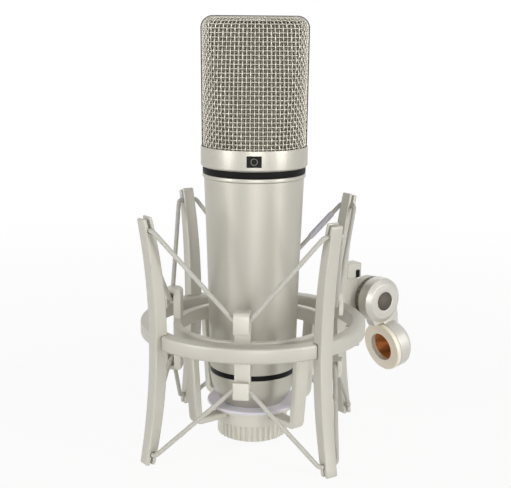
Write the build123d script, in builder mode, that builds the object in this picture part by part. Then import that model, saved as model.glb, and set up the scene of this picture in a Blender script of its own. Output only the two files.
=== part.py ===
from build123d import *
import math
import os

# A large side-address condenser microphone held in an elastic suspension.
# Millimetres, +Z up, microphone axis on Z, front of the microphone towards -Y, floor at Z = 0.

os.makedirs("parts", exist_ok=True)

# ---- driving dimensions ----

# fits between pieces
running_gap = 0.05      # shaft in its bore, radial
face_gap = 0.1          # flat faces that turn against each other
cord_gap = 0.15         # elastic cord in its slot
hook_cord_gap = 0.32    # elastic cord under a hook's arch

# outer frame: ring and four bowed arms
ring_mid_z = 64.4       # half the height of an arm, so the arms stand on the floor
ring_wall = 7.4
ring_height = 7.9
ring_bevel = 1.9
swing_room = 10.1       # free space between the cradle and the ring round it
ring_sink = 4.1         # how deep the ring is let into the arms
arm_bow = 7.0           # how much further out the tips are
arm_width = 7.6
arm_depth = 6.6
arm_tip_width = 6.6
arm_tip_depth = 5.4
arm_edge = 1.0
tip_slot_depth = 7.0
slot_mouth_half = 0.6   # half the slot's width above the cord's seat
blade_rise = 1.1        # inner blade of the upper tips stands higher
tip_round = 1.2
mount_turn = -9.0       # the suspension is turned this far from the microphone's front

# elastic cord
cord_r = 1.2
tip_lead = 2.4          # straight cord each side of an arm before it bends
tip_bend_r = 3.2
sleeve_wall = 0.5
sleeve_length = 20.0
splice_reach = 17.0     # from the bend at the back right arm to the splice
cord_end_gap = 0.6
settling_rounds = 8     # passes that settle the slope of the spans at a hook

# cradle: ring, hooks, legs and hub
cradle_outer_r = 42.9
cradle_wall = 4.0
cradle_height = 8.0
cradle_sag = 2.0        # the cradle hangs this far below the middle of the ring
cradle_turn = -7.0      # the cradle hangs two degrees off the frame
cradle_edge = 1.0
hook_width = 8.2
hook_sheet = 2.2
hook_mouth = 3.9        # clear space inside a hook
hook_rise = 20.6        # top of a hook above the middle of the cradle
hook_drop = 25.0        # its lower end below the middle of the cradle
hook_top_round = 3.0
upper_lip_drop = 11.2
lower_lip_height = 9.3
leg_depth = 4.0
leg_lean = 3.3          # the legs' lower ends are this much further in
leg_top_width = 8.5
leg_foot_width = 6.8
leg_bottom_z = 16.0
leg_corner_r = 4.0
foot_height = 3.5
hub_proud = 0.05        # the hub beyond the body's lower radius
hub_height = 1.5
washer_proud = 1.4      # the washer beyond the hub
washer_height = 1.6

# clamp nut and the threaded stem that it holds
stem_r = 14.9
stem_length = 17.0
hub_clearance = 0.4
nut_r = 19.0
nut_height = 16.3
nut_rib_height = 9.0
nut_rib_count = 40
nut_rib_depth = 0.55
nut_edge = 2.0
foot_clearance = 0.6

# microphone body, upwards from its seat on the washer
bell_ledge = 2.4        # flat round the stem on which the microphone sits
bell_bulge = 1.54      # the bell's side beyond a straight taper, at half its height
bell_height = 16.7
label_height = 2.8
body_low_r = 23.15
body_hollow = 0.285      # the tube's side inside a straight taper, at half its height
body_high_r = 26.3
tube_length = 104.7
tube_wall = 1.6
tube_lip_proud = 0.8    # this and the next two stand beyond the tube's upper radius
tube_lip_height = 2.0
seal_height = 3.6
seal_proud = 0.7
collar_proud = 1.7
collar_height = 10.6
collar_wall = 3.0
collar_chamfer = 0.8
head_seat_depth = 3.0

# head of woven mesh
head_step = 0.6         # the head's foot inside the collar
head_rise = 66.3        # above the collar's top edge
head_top_depth = 30.0
head_top_round = 6.3
mesh_wall = 1.1
inner_mesh_gap = 1.2
inner_mesh_wall = 0.6

# badge plate
plate_width = 7.6
plate_height = 5.8
plate_sink = 0.5
plate_proud = 0.25

# capsule
deck_height = 2.0
post_r = 7.0
post_height = 24.0
saddle_depth = 1.0      # the capsule sits this deep in its post
capsule_r = 17.0
capsule_depth = 9.0
capsule_ring_width = 3.2
capsule_ring_depth = 1.4
diaphragm_depth = 0.4
capsule_screw_r = 0.8
capsule_screw_count = 8

# electronics chassis
rail_r = 2.5
rail_offset = 17.0
board_height = 78.0
board_depth = 1.6
board_clearance = 8.0
transformer_width = 22.0
transformer_height = 20.0
transformer_depth = 14.0
transformer_edge = 2.0
capacitor_r = 4.0
capacitor_length = 8.0
capacitor_places = ((-7.0, 20.0), (7.0, 20.0), (0.0, 50.0))     # across, up the board

# connector
connector_bore_r = 9.7
connector_depth = 14.0
insert_height = 4.0
pin_r = 1.2
pin_length = 10.0
pin_circle_r = 4.0
pin_count = 3
pin_turn = 90.0

# swivel on the back right arm
pivot_reach = 10.4      # from the base's outer edge to the pivot
pivot_z = 67.0
base_reach = 10.7       # the bracket's base beyond the arm
base_half_width = 3.8
base_rise = 22.5        # its top above the pivot
base_drop = 27.0        # its lower end below the pivot
base_slot_width = 3.0
base_slot_height = 4.5
base_slot_wall = 1.0
base_slot_end = 4.0
neck_height = 8.6
lug_r = 12.2
lug_near_t = 1.0
lug_far_t = -4.6
bolt_r = 3.0
bolt_head_r = 5.3
bolt_head_depth = 2.0
serration_r = 12.6
serration_depth = 3.6
serration_count = 48
serration_tooth = 0.5
lever_r = 13.25
lever_rim = 4.2
lever_dome = 4.2
lever_flat_r = 6.4
lever_dome_mid_r = 11.0     # a point half way over the lever's dome
lever_dome_mid_rise = 3.0
lever_neck_half = 11.4
lever_clearance = 0.8   # between the turning lever and the bracket's base
socket_drop = 28.4      # pivot to the centre of the socket
socket_swing = 16.4     # degrees outwards from straight down
socket_tilt = 12.0      # degrees that the socket's mouth looks down
socket_r = 14.3
socket_band = 6.6
socket_dome = 6.0
socket_dome_mid_r = 10.6    # a point half way over the socket's domed back
socket_dome_mid_rise = 4.0
socket_face_depth = 3.0
socket_mouth_r = 8.3
bush_outer_r = 9.6
thread_r = 7.5
bush_length = 9.0
knob_r = 8.0
knob_depth = 7.0
knob_flutes = 12
knob_flute_r = 2.25
knob_flute_out = 1.5    # flute centres outside the knob's radius

# ---- derived places ----

floor_z = 0.0
arm_top_z = 2 * ring_mid_z
ring_inner_r = cradle_outer_r + swing_room
ring_outer_r = ring_inner_r + ring_wall
arm_mid_r = ring_outer_r - ring_sink + arm_depth / 2    # centre of the arm's section at the ring
base_outer_r = arm_mid_r + arm_depth / 2 + base_reach
pivot_r = base_outer_r + pivot_reach
slot_half = cord_r + cord_gap
upper_tip_z = arm_top_z - tip_slot_depth + slot_half
lower_tip_z = floor_z + tip_slot_depth - slot_half


def arm_edge_r(z, side):
    """Radius of the bowed arm's outer (side 1) or inner (side -1) edge at height z."""
    bow = arm_bow - side * (arm_depth - arm_tip_depth) / 2
    radius = (ring_mid_z**2 + bow**2) / (2 * bow)
    middle_r = arm_mid_r + side * arm_depth / 2
    return middle_r + radius - math.sqrt(radius**2 - (z - ring_mid_z) ** 2)


def arm_centre_r(z):
    """Radius of the arm's middle line at height z."""
    return (arm_edge_r(z, 1) + arm_edge_r(z, -1)) / 2


slot_r = arm_centre_r(upper_tip_z)
ring_low_z = ring_mid_z - ring_height / 2
ring_high_z = ring_mid_z + ring_height / 2

cradle_mid_z = ring_mid_z - cradle_sag
cradle_low_z = cradle_mid_z - cradle_height / 2
cradle_high_z = cradle_mid_z + cradle_height / 2
cradle_inner_r = cradle_outer_r - cradle_wall
hook_top_z = cradle_mid_z + hook_rise
hook_bottom_z = cradle_mid_z - hook_drop
hook_cord_r = cradle_outer_r + hook_mouth / 2
hook_lip_r = cradle_outer_r + hook_mouth + hook_sheet
leg_foot_r = cradle_outer_r - leg_lean
foot_top_z = leg_bottom_z + foot_height
hub_top_z = foot_top_z + hub_height
seat_z = hub_top_z + washer_height

hub_r = body_low_r + hub_proud
washer_r = hub_r + washer_proud
bell_foot_r = stem_r + bell_ledge
bell_mid_r = (bell_foot_r + body_low_r) / 2 + bell_bulge
body_mid_r = (body_low_r + body_high_r) / 2 - body_hollow
tube_lip_r = body_high_r + tube_lip_proud
seal_r = body_high_r + seal_proud
collar_r = body_high_r + collar_proud
head_base_r = collar_r - head_step
head_top_r = collar_r

nut_top_z = foot_top_z - face_gap
nut_low_z = nut_top_z - nut_height
bell_top_z = seat_z + bell_height
tube_low_z = bell_top_z + label_height
tube_high_z = tube_low_z + tube_length
tube_mid_z = tube_low_z + (tube_length - tube_lip_height) / 2
bell_mid_z = seat_z + bell_height / 2
collar_low_z = tube_high_z + seal_height
collar_high_z = collar_low_z + collar_height
head_low_z = collar_high_z - head_seat_depth
head_high_z = collar_high_z + head_rise
deck_top_z = head_low_z
stem_low_z = seat_z - stem_length

hook_azimuths = {
    "front": cradle_turn,
    "right": cradle_turn + 90,
    "back": cradle_turn + 180,
    "left": cradle_turn + 270,
}
leg_azimuths = {
    "front_left": cradle_turn - 45,
    "front_right": cradle_turn + 45,
    "back_right": cradle_turn + 135,
    "back_left": cradle_turn + 225,
}
arm_azimuths = {
    "front_left": mount_turn - 45,
    "front_right": mount_turn + 45,
    "back_right": mount_turn + 135,
    "back_left": mount_turn + 225,
}
swivel_azimuth = arm_azimuths["back_right"]


def radial_plane(azimuth, sideways=0.0):
    """Plane through the Z axis: x runs outwards at this azimuth, y runs up."""
    a = math.radians(azimuth)
    outwards = Vector(math.sin(a), -math.cos(a), 0)
    across = Vector(-math.cos(a), -math.sin(a), 0)
    return Plane(origin=across * sideways, x_dir=outwards, z_dir=across)


def at(azimuth, r, sideways, z):
    """World point at radius r, this far sideways, at height z."""
    return radial_plane(azimuth).from_local_coords(Vector(r, z, sideways))


def finish(part, name):
    part.label = name
    export_step(part, f"parts/{name}.step")


# ---- outer frame ----

with BuildPart() as outer_ring:
    with BuildSketch(Plane.XZ):
        with Locations((ring_outer_r - ring_wall / 2, ring_mid_z)):
            Rectangle(ring_wall, ring_height)
    revolve(axis=Axis.Z)
    fillet(outer_ring.edges().filter_by(GeomType.CIRCLE), ring_bevel)
finish(outer_ring.part, "outer_ring")

with BuildPart() as ring_seat:
    with BuildSketch(Plane.XY.offset(ring_low_z)):
        Circle(ring_outer_r)
    extrude(amount=ring_height)


for arm_name, azimuth in arm_azimuths.items():
    outer = 1
    inner = -1
    inner_top_z = arm_top_z + blade_rise
    with BuildPart() as arm:
        with BuildSketch(radial_plane(azimuth)) as arm_profile:
            with BuildLine():
                ThreePointArc(
                    (arm_edge_r(floor_z, outer), floor_z),
                    (arm_edge_r(ring_mid_z, outer), ring_mid_z),
                    (arm_edge_r(arm_top_z, outer), arm_top_z),
                )
                Line(
                    (arm_edge_r(arm_top_z, outer), arm_top_z),
                    (arm_edge_r(inner_top_z, inner), inner_top_z),
                )
                ThreePointArc(
                    (arm_edge_r(inner_top_z, inner), inner_top_z),
                    (arm_edge_r(ring_mid_z, inner), ring_mid_z),
                    (arm_edge_r(floor_z, inner), floor_z),
                )
                Line(
                    (arm_edge_r(floor_z, inner), floor_z),
                    (arm_edge_r(floor_z, outer), floor_z),
                )
            make_face()
            fillet(arm_profile.vertices(), tip_round)
        extrude(amount=arm_width / 2, both=True)
        with BuildSketch(radial_plane(azimuth + 90)):
            with BuildLine():
                ThreePointArc(
                    (-arm_tip_width / 2, floor_z),
                    (-arm_width / 2, ring_mid_z),
                    (-arm_tip_width / 2, arm_top_z),
                )
                Polyline(
                    (-arm_tip_width / 2, arm_top_z),
                    (-arm_tip_width / 2, inner_top_z),
                    (arm_tip_width / 2, inner_top_z),
                    (arm_tip_width / 2, arm_top_z),
                )
                ThreePointArc(
                    (arm_tip_width / 2, arm_top_z),
                    (arm_width / 2, ring_mid_z),
                    (arm_tip_width / 2, floor_z),
                )
                Line((arm_tip_width / 2, floor_z), (-arm_tip_width / 2, floor_z))
            make_face()
        extrude(amount=2 * arm_mid_r, both=True, mode=Mode.INTERSECT)
        side_faces = arm.faces().sort_by(SortBy.AREA)[-2:]
        fillet(side_faces.edges(), arm_edge)
        with BuildSketch(radial_plane(azimuth)):
            for slot_z, way in ((upper_tip_z, 1), (lower_tip_z, -1)):
                with Locations((slot_r, slot_z)):
                    Circle(slot_half)
                mouth_z = slot_z + way * tip_slot_depth
                mouth_r = arm_centre_r(mouth_z)
                with BuildLine():
                    Polyline(
                        (slot_r - slot_mouth_half, slot_z),
                        (slot_r + slot_mouth_half, slot_z),
                        (mouth_r + slot_mouth_half, mouth_z),
                        (mouth_r - slot_mouth_half, mouth_z),
                        close=True,
                    )
                make_face()
        extrude(amount=arm_width, both=True, mode=Mode.SUBTRACT)
        add(ring_seat.part, mode=Mode.SUBTRACT)
    finish(arm.part, f"arm_{arm_name}")

# ---- cradle ----

with BuildPart() as cradle_ring:
    with BuildSketch(Plane.XZ):
        with Locations((cradle_outer_r - cradle_wall / 2, cradle_mid_z)):
            Rectangle(cradle_wall, cradle_height)
    revolve(axis=Axis.Z)
    fillet(cradle_ring.edges().filter_by(GeomType.CIRCLE), cradle_edge)
finish(cradle_ring.part, "cradle_ring")

with BuildPart() as cradle_band:
    with BuildSketch(Plane.XY.offset(cradle_low_z)):
        Circle(hook_lip_r)
    extrude(amount=cradle_height)

# A hook is one strip that stands on the ring and hangs under it: an arch over the upper cord
# and a square trough under the lower cord.
hook_arch_z = hook_top_z - hook_sheet - hook_mouth / 2
hook_lip_inner_r = hook_lip_r - hook_sheet
upper_lip_z = hook_top_z - upper_lip_drop
trough_top_z = hook_bottom_z + lower_lip_height
trough_floor_z = hook_bottom_z + hook_sheet
for hook_name, azimuth in hook_azimuths.items():
    with BuildPart() as hook:
        with BuildSketch(radial_plane(azimuth)) as hook_profile:
            with BuildLine():
                Polyline(
                    (cradle_outer_r, hook_arch_z),
                    (cradle_outer_r, trough_floor_z),
                    (hook_lip_inner_r, trough_floor_z),
                    (hook_lip_inner_r, trough_top_z),
                    (hook_lip_r, trough_top_z),
                    (hook_lip_r, hook_bottom_z),
                    (cradle_inner_r, hook_bottom_z),
                    (cradle_inner_r, hook_top_z),
                    (hook_lip_r, hook_top_z),
                    (hook_lip_r, upper_lip_z),
                    (hook_lip_inner_r, upper_lip_z),
                    (hook_lip_inner_r, hook_arch_z),
                )
                ThreePointArc(
                    (hook_lip_inner_r, hook_arch_z),
                    (hook_cord_r, hook_arch_z + hook_mouth / 2),
                    (cradle_outer_r, hook_arch_z),
                )
            make_face()
            top_corners = hook_profile.vertices().sort_by(Axis.Y)[-2:]
            fillet(top_corners, hook_top_round)
        extrude(amount=hook_width / 2, both=True)
        add(cradle_band.part, mode=Mode.SUBTRACT)
    finish(hook.part, f"hook_{hook_name}")

with BuildPart() as cradle_hub:
    with BuildSketch(Plane.XY.offset(foot_top_z)):
        Circle(hub_r)
        Circle(stem_r + hub_clearance, mode=Mode.SUBTRACT)
    extrude(amount=hub_height)
finish(cradle_hub.part, "cradle_hub")

with BuildPart() as cushion_washer:
    with BuildSketch(Plane.XY.offset(hub_top_z)):
        Circle(washer_r)
        Circle(stem_r + hub_clearance, mode=Mode.SUBTRACT)
    extrude(amount=washer_height)
    rims = cushion_washer.edges().filter_by(GeomType.CIRCLE).sort_by(SortBy.RADIUS)[-2:]
    fillet(rims, washer_height / 3)
finish(cushion_washer.part, "cushion_washer")

# A leg hangs from the ring's underside and turns in to the hub as a foot.
foot_inner_r = nut_r + foot_clearance
for leg_name, azimuth in leg_azimuths.items():
    with BuildPart() as leg:
        with BuildSketch(radial_plane(azimuth)) as leg_profile:
            with BuildLine():
                Polyline(
                    (cradle_outer_r - leg_depth, cradle_low_z),
                    (cradle_outer_r, cradle_low_z),
                    (leg_foot_r, leg_bottom_z),
                    (foot_inner_r, leg_bottom_z),
                    (foot_inner_r, foot_top_z),
                    (leg_foot_r - leg_depth, foot_top_z),
                    close=True,
                )
            make_face()
            heel = leg_profile.vertices().sort_by(Axis.Y)[:2].sort_by(Axis.X)[-1:]
            fillet(heel, leg_corner_r)
        extrude(amount=leg_top_width / 2, both=True)
        with BuildSketch(radial_plane(azimuth + 90)):
            with BuildLine():
                Polyline(
                    (-leg_top_width / 2, cradle_low_z),
                    (leg_top_width / 2, cradle_low_z),
                    (leg_foot_width / 2, leg_bottom_z),
                    (-leg_foot_width / 2, leg_bottom_z),
                    close=True,
                )
            make_face()
        extrude(amount=2 * cradle_outer_r, mode=Mode.INTERSECT)
        leg_length = cradle_low_z - leg_bottom_z
        fillet(leg.edges().filter_by(lambda e: e.length > leg_length / 2), cradle_edge)
    finish(leg.part, f"leg_{leg_name}")

with BuildPart() as clamp_nut:
    with BuildSketch(Plane.XY.offset(nut_low_z)):
        Circle(nut_r)
        Circle(stem_r + running_gap, mode=Mode.SUBTRACT)
    extrude(amount=nut_height)
    low_edges = clamp_nut.edges().filter_by(GeomType.CIRCLE).group_by(Axis.Z)[0]
    rim = low_edges.sort_by(SortBy.RADIUS)[-1:]
    fillet(rim, nut_edge)
    with BuildSketch(Plane.XY.offset(nut_low_z)):
        with PolarLocations(nut_r, nut_rib_count):
            Rectangle(2 * nut_rib_depth, math.pi * nut_r / nut_rib_count)
    extrude(amount=nut_rib_height, mode=Mode.SUBTRACT)
finish(clamp_nut.part, "clamp_nut")

# ---- swivel on the back right arm ----

base_low_z = pivot_z - base_drop
base_high_z = pivot_z + base_rise
slot_mid_r = base_outer_r - base_slot_wall - base_slot_width / 2
swivel_plane = radial_plane(swivel_azimuth)

with BuildPart() as swivel_bracket:
    with BuildSketch(swivel_plane) as base_profile:
        with BuildLine():
            ThreePointArc(
                (arm_edge_r(base_low_z, 1), base_low_z),
                (arm_edge_r(pivot_z, 1), pivot_z),
                (arm_edge_r(base_high_z, 1), base_high_z),
            )
            Polyline(
                (arm_edge_r(base_high_z, 1), base_high_z),
                (base_outer_r, base_high_z),
                (base_outer_r, base_low_z),
                (arm_edge_r(base_low_z, 1), base_low_z),
            )
        make_face()
        slot_inset = base_slot_end + base_slot_height / 2
        for slot_mid_z in (base_high_z - slot_inset, base_low_z + slot_inset):
            with Locations((slot_mid_r, slot_mid_z)):
                Rectangle(base_slot_width, base_slot_height, mode=Mode.SUBTRACT)
    extrude(amount=base_half_width, both=True)
    with BuildSketch(radial_plane(swivel_azimuth, lug_near_t)):
        with Locations((pivot_r, pivot_z)):
            Rectangle(2 * pivot_r, 2 * (lever_r + lever_clearance))
    extrude(amount=base_half_width, mode=Mode.SUBTRACT)
    with BuildSketch(radial_plane(swivel_azimuth, lug_far_t)):
        with Locations((pivot_r, pivot_z)):
            Circle(lug_r)
        with BuildLine():
            neck_r = base_outer_r - base_slot_wall
            Polyline(
                (neck_r, pivot_z + neck_height / 2),
                (pivot_r, pivot_z + lug_r),
                (pivot_r, pivot_z - lug_r),
                (neck_r, pivot_z - neck_height / 2),
                close=True,
            )
        make_face()
    extrude(amount=lug_near_t - lug_far_t)
    with BuildSketch(swivel_plane):
        with Locations((pivot_r, pivot_z)):
            Circle(bolt_r)
    extrude(amount=lug_r, both=True, mode=Mode.SUBTRACT)
finish(swivel_bracket.part, "swivel_bracket")

serration_low_t = lug_near_t + face_gap
serration_high_t = serration_low_t + serration_depth
lever_low_t = serration_high_t
lever_rim_t = lever_low_t + lever_rim
lever_face_t = lever_rim_t + lever_dome
head_low_t = lever_face_t - bolt_head_depth

with BuildPart() as friction_disc:
    with BuildSketch(radial_plane(swivel_azimuth, serration_low_t)):
        with Locations((pivot_r, pivot_z)):
            Circle(serration_r)
            Circle(bolt_r + running_gap, mode=Mode.SUBTRACT)
            with PolarLocations(serration_r, serration_count):
                Rectangle(
                    2 * serration_tooth,
                    math.pi * serration_r / serration_count,
                    mode=Mode.SUBTRACT,
                )
    extrude(amount=serration_depth)
finish(friction_disc.part, "friction_disc")

# The lever's round end turns on the bolt; its other end is the socket for the stand's thread.
swing = math.radians(socket_swing)
tilt = math.radians(socket_tilt)
socket_centre_r = pivot_r + socket_drop * math.sin(swing)
socket_centre_z = pivot_z - socket_drop * math.cos(swing)
lever_mid_t = (lever_low_t + lever_face_t) / 2
socket_centre = at(swivel_azimuth, socket_centre_r, lever_mid_t, socket_centre_z)
mouth_way = at(swivel_azimuth, -math.cos(tilt), 0, -math.sin(tilt))
socket_across = swivel_plane.z_dir
band_near = socket_band / 2
band_far = -socket_band / 2


def socket_plane(along):
    """Plane square to the socket's axis, this far from its centre towards the mouth."""
    return Plane(origin=socket_centre + mouth_way * along, x_dir=socket_across, z_dir=mouth_way)


pivot_centre = at(swivel_azimuth, pivot_r, 0, pivot_z)
pivot_half_plane = Plane(
    origin=pivot_centre, x_dir=swivel_plane.x_dir, z_dir=Vector(0, 0, -1)
)
socket_half_plane = Plane(
    origin=socket_centre, x_dir=socket_across, z_dir=mouth_way.cross(socket_across) * -1
)

with BuildPart() as swivel_lever:
    with BuildSketch(pivot_half_plane):
        with BuildLine():
            Polyline(
                (0, lever_face_t),
                (0, lever_low_t),
                (lever_r, lever_low_t),
                (lever_r, lever_rim_t),
            )
            ThreePointArc(
                (lever_r, lever_rim_t),
                (lever_dome_mid_r, lever_rim_t + lever_dome_mid_rise),
                (lever_flat_r, lever_face_t),
            )
            Line((lever_flat_r, lever_face_t), (0, lever_face_t))
        make_face()
    revolve(axis=Axis(pivot_centre, socket_across))
    with BuildSketch(socket_half_plane):
        with BuildLine():
            Polyline(
                (0, band_far - socket_dome),
                (0, band_near),
                (socket_r, band_near),
                (socket_r, band_far),
            )
            ThreePointArc(
                (socket_r, band_far),
                (socket_dome_mid_r, band_far - socket_dome_mid_rise),
                (0, band_far - socket_dome),
            )
        make_face()
    revolve(axis=Axis(socket_centre, mouth_way))
    with BuildSketch(radial_plane(swivel_azimuth, lever_low_t)):
        with BuildLine():
            side = (math.cos(swing), math.sin(swing))
            low_half = (socket_band + socket_dome) / 2
            Polyline(
                (pivot_r - side[0] * lever_neck_half, pivot_z - side[1] * lever_neck_half),
                (pivot_r + side[0] * lever_neck_half, pivot_z + side[1] * lever_neck_half),
                (socket_centre_r + side[0] * low_half, socket_centre_z + side[1] * low_half),
                (socket_centre_r - side[0] * low_half, socket_centre_z - side[1] * low_half),
                close=True,
            )
        make_face()
    extrude(amount=lever_rim_t + lever_dome / 2 - lever_low_t)
    with BuildSketch(socket_plane(band_near)):
        Circle(socket_r + lever_clearance)
    extrude(amount=socket_r, mode=Mode.SUBTRACT)
    with BuildSketch(socket_plane(band_near)):
        Circle(bush_outer_r)
    extrude(amount=-bush_length, mode=Mode.SUBTRACT)
    with BuildSketch(radial_plane(swivel_azimuth, head_low_t)):
        with Locations((pivot_r, pivot_z)):
            Circle(bolt_head_r + running_gap)
    extrude(amount=2 * bolt_head_depth, mode=Mode.SUBTRACT)
    with BuildSketch(swivel_plane):
        with Locations((pivot_r, pivot_z)):
            Circle(bolt_r + running_gap)
    extrude(amount=lever_face_t, mode=Mode.SUBTRACT)
finish(swivel_lever.part, "swivel_lever")

with BuildPart() as socket_face_ring:
    with BuildSketch(socket_plane(band_near)):
        Circle(socket_r)
        Circle(socket_mouth_r, mode=Mode.SUBTRACT)
    extrude(amount=socket_face_depth)
    rims = socket_face_ring.edges().filter_by(GeomType.CIRCLE).sort_by(SortBy.RADIUS)[-2:]
    fillet(rims, socket_face_depth / 4)
finish(socket_face_ring.part, "socket_face_ring")

with BuildPart() as socket_thread_bush:
    with BuildSketch(socket_plane(band_near)):
        Circle(bush_outer_r)
        Circle(thread_r, mode=Mode.SUBTRACT)
    extrude(amount=-bush_length)
finish(socket_thread_bush.part, "socket_thread_bush")

knob_high_t = lug_far_t - face_gap
knob_low_t = knob_high_t - knob_depth
with BuildPart() as pivot_bolt:
    with BuildSketch(radial_plane(swivel_azimuth, knob_low_t)):
        with Locations((pivot_r, pivot_z)):
            Circle(bolt_r)
    extrude(amount=head_low_t - knob_low_t)
    with BuildSketch(radial_plane(swivel_azimuth, head_low_t)):
        with Locations((pivot_r, pivot_z)):
            Circle(bolt_head_r)
    extrude(amount=bolt_head_depth)
finish(pivot_bolt.part, "pivot_bolt")

with BuildPart() as pivot_knob:
    with BuildSketch(radial_plane(swivel_azimuth, knob_low_t)):
        with Locations((pivot_r, pivot_z)):
            Circle(knob_r)
            Circle(bolt_r + running_gap, mode=Mode.SUBTRACT)
            with PolarLocations(knob_r + knob_flute_out, knob_flutes):
                Circle(knob_flute_r, mode=Mode.SUBTRACT)
    extrude(amount=knob_depth)
finish(pivot_knob.part, "pivot_knob")

# ---- elastic cords ----

# Each cord runs from arm tip to hook to arm tip, eight straight spans, and its two ends meet
# inside a sleeve on the span between the back right arm and the back hook.


def hook_corner(side_z, tip_z, mouth_way_z):
    """Height where the two spans at a hook would meet, so that they clear its sheet's edges.

    side_z is the sheet's surface that the cord pulls on, mouth_way_z is -1 under an arch."""
    hook_place = at(hook_azimuths["back"], hook_cord_r, 0, tip_z)
    reach = (hook_place - at(arm_azimuths["back_left"], slot_r, 0, tip_z)).length
    corner_z = side_z + mouth_way_z * 2 * cord_r
    for _ in range(settling_rounds):
        slope = math.atan2(abs(tip_z - corner_z), reach - arm_tip_width / 2)
        edge_drop = (cord_r + hook_cord_gap) / math.cos(slope)
        corner_z = side_z + mouth_way_z * (edge_drop + hook_width / 2 * math.tan(slope))
    return corner_z, hook_width / 2 / math.sin(slope)


def elastic_route(tip_z, corner_z):
    """The corners of one cord's route, from the sleeve round the four arms and back to it."""
    lead = arm_tip_width / 2 + tip_lead
    corners = []
    order = (
        ("back", "back_left"),
        ("left", "front_left"),
        ("front", "front_right"),
        ("right", "back_right"),
    )
    for hook_at, arm_at in order:
        corners.append(at(hook_azimuths[hook_at], hook_cord_r, 0, corner_z))
        corners.append(at(arm_azimuths[arm_at], slot_r, lead, tip_z))
        corners.append(at(arm_azimuths[arm_at], slot_r, -lead, tip_z))
    return corners


upper_corner_z, upper_hook_bend = hook_corner(hook_top_z - hook_sheet, upper_tip_z, -1)
lower_corner_z, lower_hook_bend = hook_corner(hook_bottom_z + hook_sheet, lower_tip_z, 1)
elastics = {
    "upper": (upper_tip_z, upper_corner_z, upper_hook_bend),
    "lower": (lower_tip_z, lower_corner_z, lower_hook_bend),
}
for elastic_name, (tip_z, corner_z, hook_bend) in elastics.items():
    corners = elastic_route(tip_z, corner_z)
    along = (corners[0] - corners[-1]).normalized()
    splice = corners[-1] + along * splice_reach
    start = splice + along * cord_end_gap / 2
    end = splice - along * cord_end_gap / 2
    radii = [hook_bend, tip_bend_r, tip_bend_r] * len(arm_azimuths)
    with BuildPart() as elastic:
        with BuildLine() as route:
            FilletPolyline(start, *corners, end, radius=radii)
        with BuildSketch(Plane(origin=start, z_dir=along)):
            Circle(cord_r)
        sweep(path=route.line)
    finish(elastic.part, f"{elastic_name}_elastic")
    length = sum(edge.length for edge in route.edges())
    share = elastic.part.volume / (length * math.pi * cord_r**2)
    print(elastic_name, "elastic length", round(length, 1), "volume share", round(share, 4))
    print("bend radii", [round(r, 2) for r in radii[:3]])
    with BuildPart() as sleeve:
        with BuildSketch(Plane(origin=splice - along * sleeve_length / 2, z_dir=along)):
            Circle(cord_r + sleeve_wall)
            Circle(cord_r, mode=Mode.SUBTRACT)
        extrude(amount=sleeve_length)
    finish(sleeve.part, f"{elastic_name}_splice_sleeve")

# ---- microphone body ----

with BuildPart() as end_bell:
    with BuildSketch(Plane.XZ):
        with BuildLine():
            Line((0, bell_top_z), (body_low_r, bell_top_z))
            ThreePointArc(
                (body_low_r, bell_top_z),
                (bell_mid_r, bell_mid_z),
                (bell_foot_r, seat_z),
            )
            Polyline(
                (bell_foot_r, seat_z),
                (stem_r, seat_z),
                (stem_r, stem_low_z),
                (connector_bore_r, stem_low_z),
                (connector_bore_r, stem_low_z + connector_depth),
                (0, stem_low_z + connector_depth),
                (0, bell_top_z),
            )
        make_face()
    revolve(axis=Axis.Z)
finish(end_bell.part, "end_bell")

with BuildPart() as label_ring:
    with BuildSketch(Plane.XY.offset(bell_top_z)):
        Circle(body_low_r)
        Circle(body_low_r - tube_wall, mode=Mode.SUBTRACT)
    extrude(amount=label_height)
finish(label_ring.part, "label_ring")


def tube_outline(inset):
    """The gently tapering side of the body tube, moved in by this much."""
    ThreePointArc(
        (body_low_r - inset, tube_low_z),
        (body_mid_r - inset, tube_mid_z),
        (body_high_r - inset, tube_high_z - tube_lip_height),
    )


with BuildPart() as body_tube:
    with BuildSketch(Plane.XZ):
        with BuildLine():
            tube_outline(0)
            Polyline(
                (body_high_r, tube_high_z - tube_lip_height),
                (tube_lip_r, tube_high_z - tube_lip_height),
                (tube_lip_r, tube_high_z),
                (body_high_r - tube_wall, tube_high_z),
                (body_high_r - tube_wall, tube_high_z - tube_lip_height),
            )
            tube_outline(tube_wall)
            Line((body_low_r - tube_wall, tube_low_z), (body_low_r, tube_low_z))
        make_face()
    revolve(axis=Axis.Z)
finish(body_tube.part, "body_tube")

with BuildPart() as collar_seal_ring:
    with BuildSketch(Plane.XY.offset(tube_high_z)):
        Circle(seal_r)
        Circle(body_high_r - tube_wall, mode=Mode.SUBTRACT)
    extrude(amount=seal_height)
finish(collar_seal_ring.part, "collar_seal_ring")

with BuildPart() as head_collar:
    with BuildSketch(Plane.XY.offset(collar_low_z)):
        Circle(collar_r)
        Circle(collar_r - collar_wall, mode=Mode.SUBTRACT)
    extrude(amount=collar_height)
    with BuildSketch(Plane.XY.offset(head_low_z)):
        Circle(head_base_r + running_gap)
    extrude(amount=head_seat_depth, mode=Mode.SUBTRACT)
    low_edges = head_collar.edges().filter_by(GeomType.CIRCLE).group_by(Axis.Z)[0]
    chamfer(low_edges.sort_by(SortBy.RADIUS)[-1:], collar_chamfer)
    with BuildSketch(Plane.XZ.offset(collar_r - plate_sink)):
        with Locations((0, collar_low_z + collar_height / 2)):
            Rectangle(plate_width, plate_height)
    extrude(amount=collar_wall, mode=Mode.SUBTRACT)
finish(head_collar.part, "head_collar")

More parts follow.
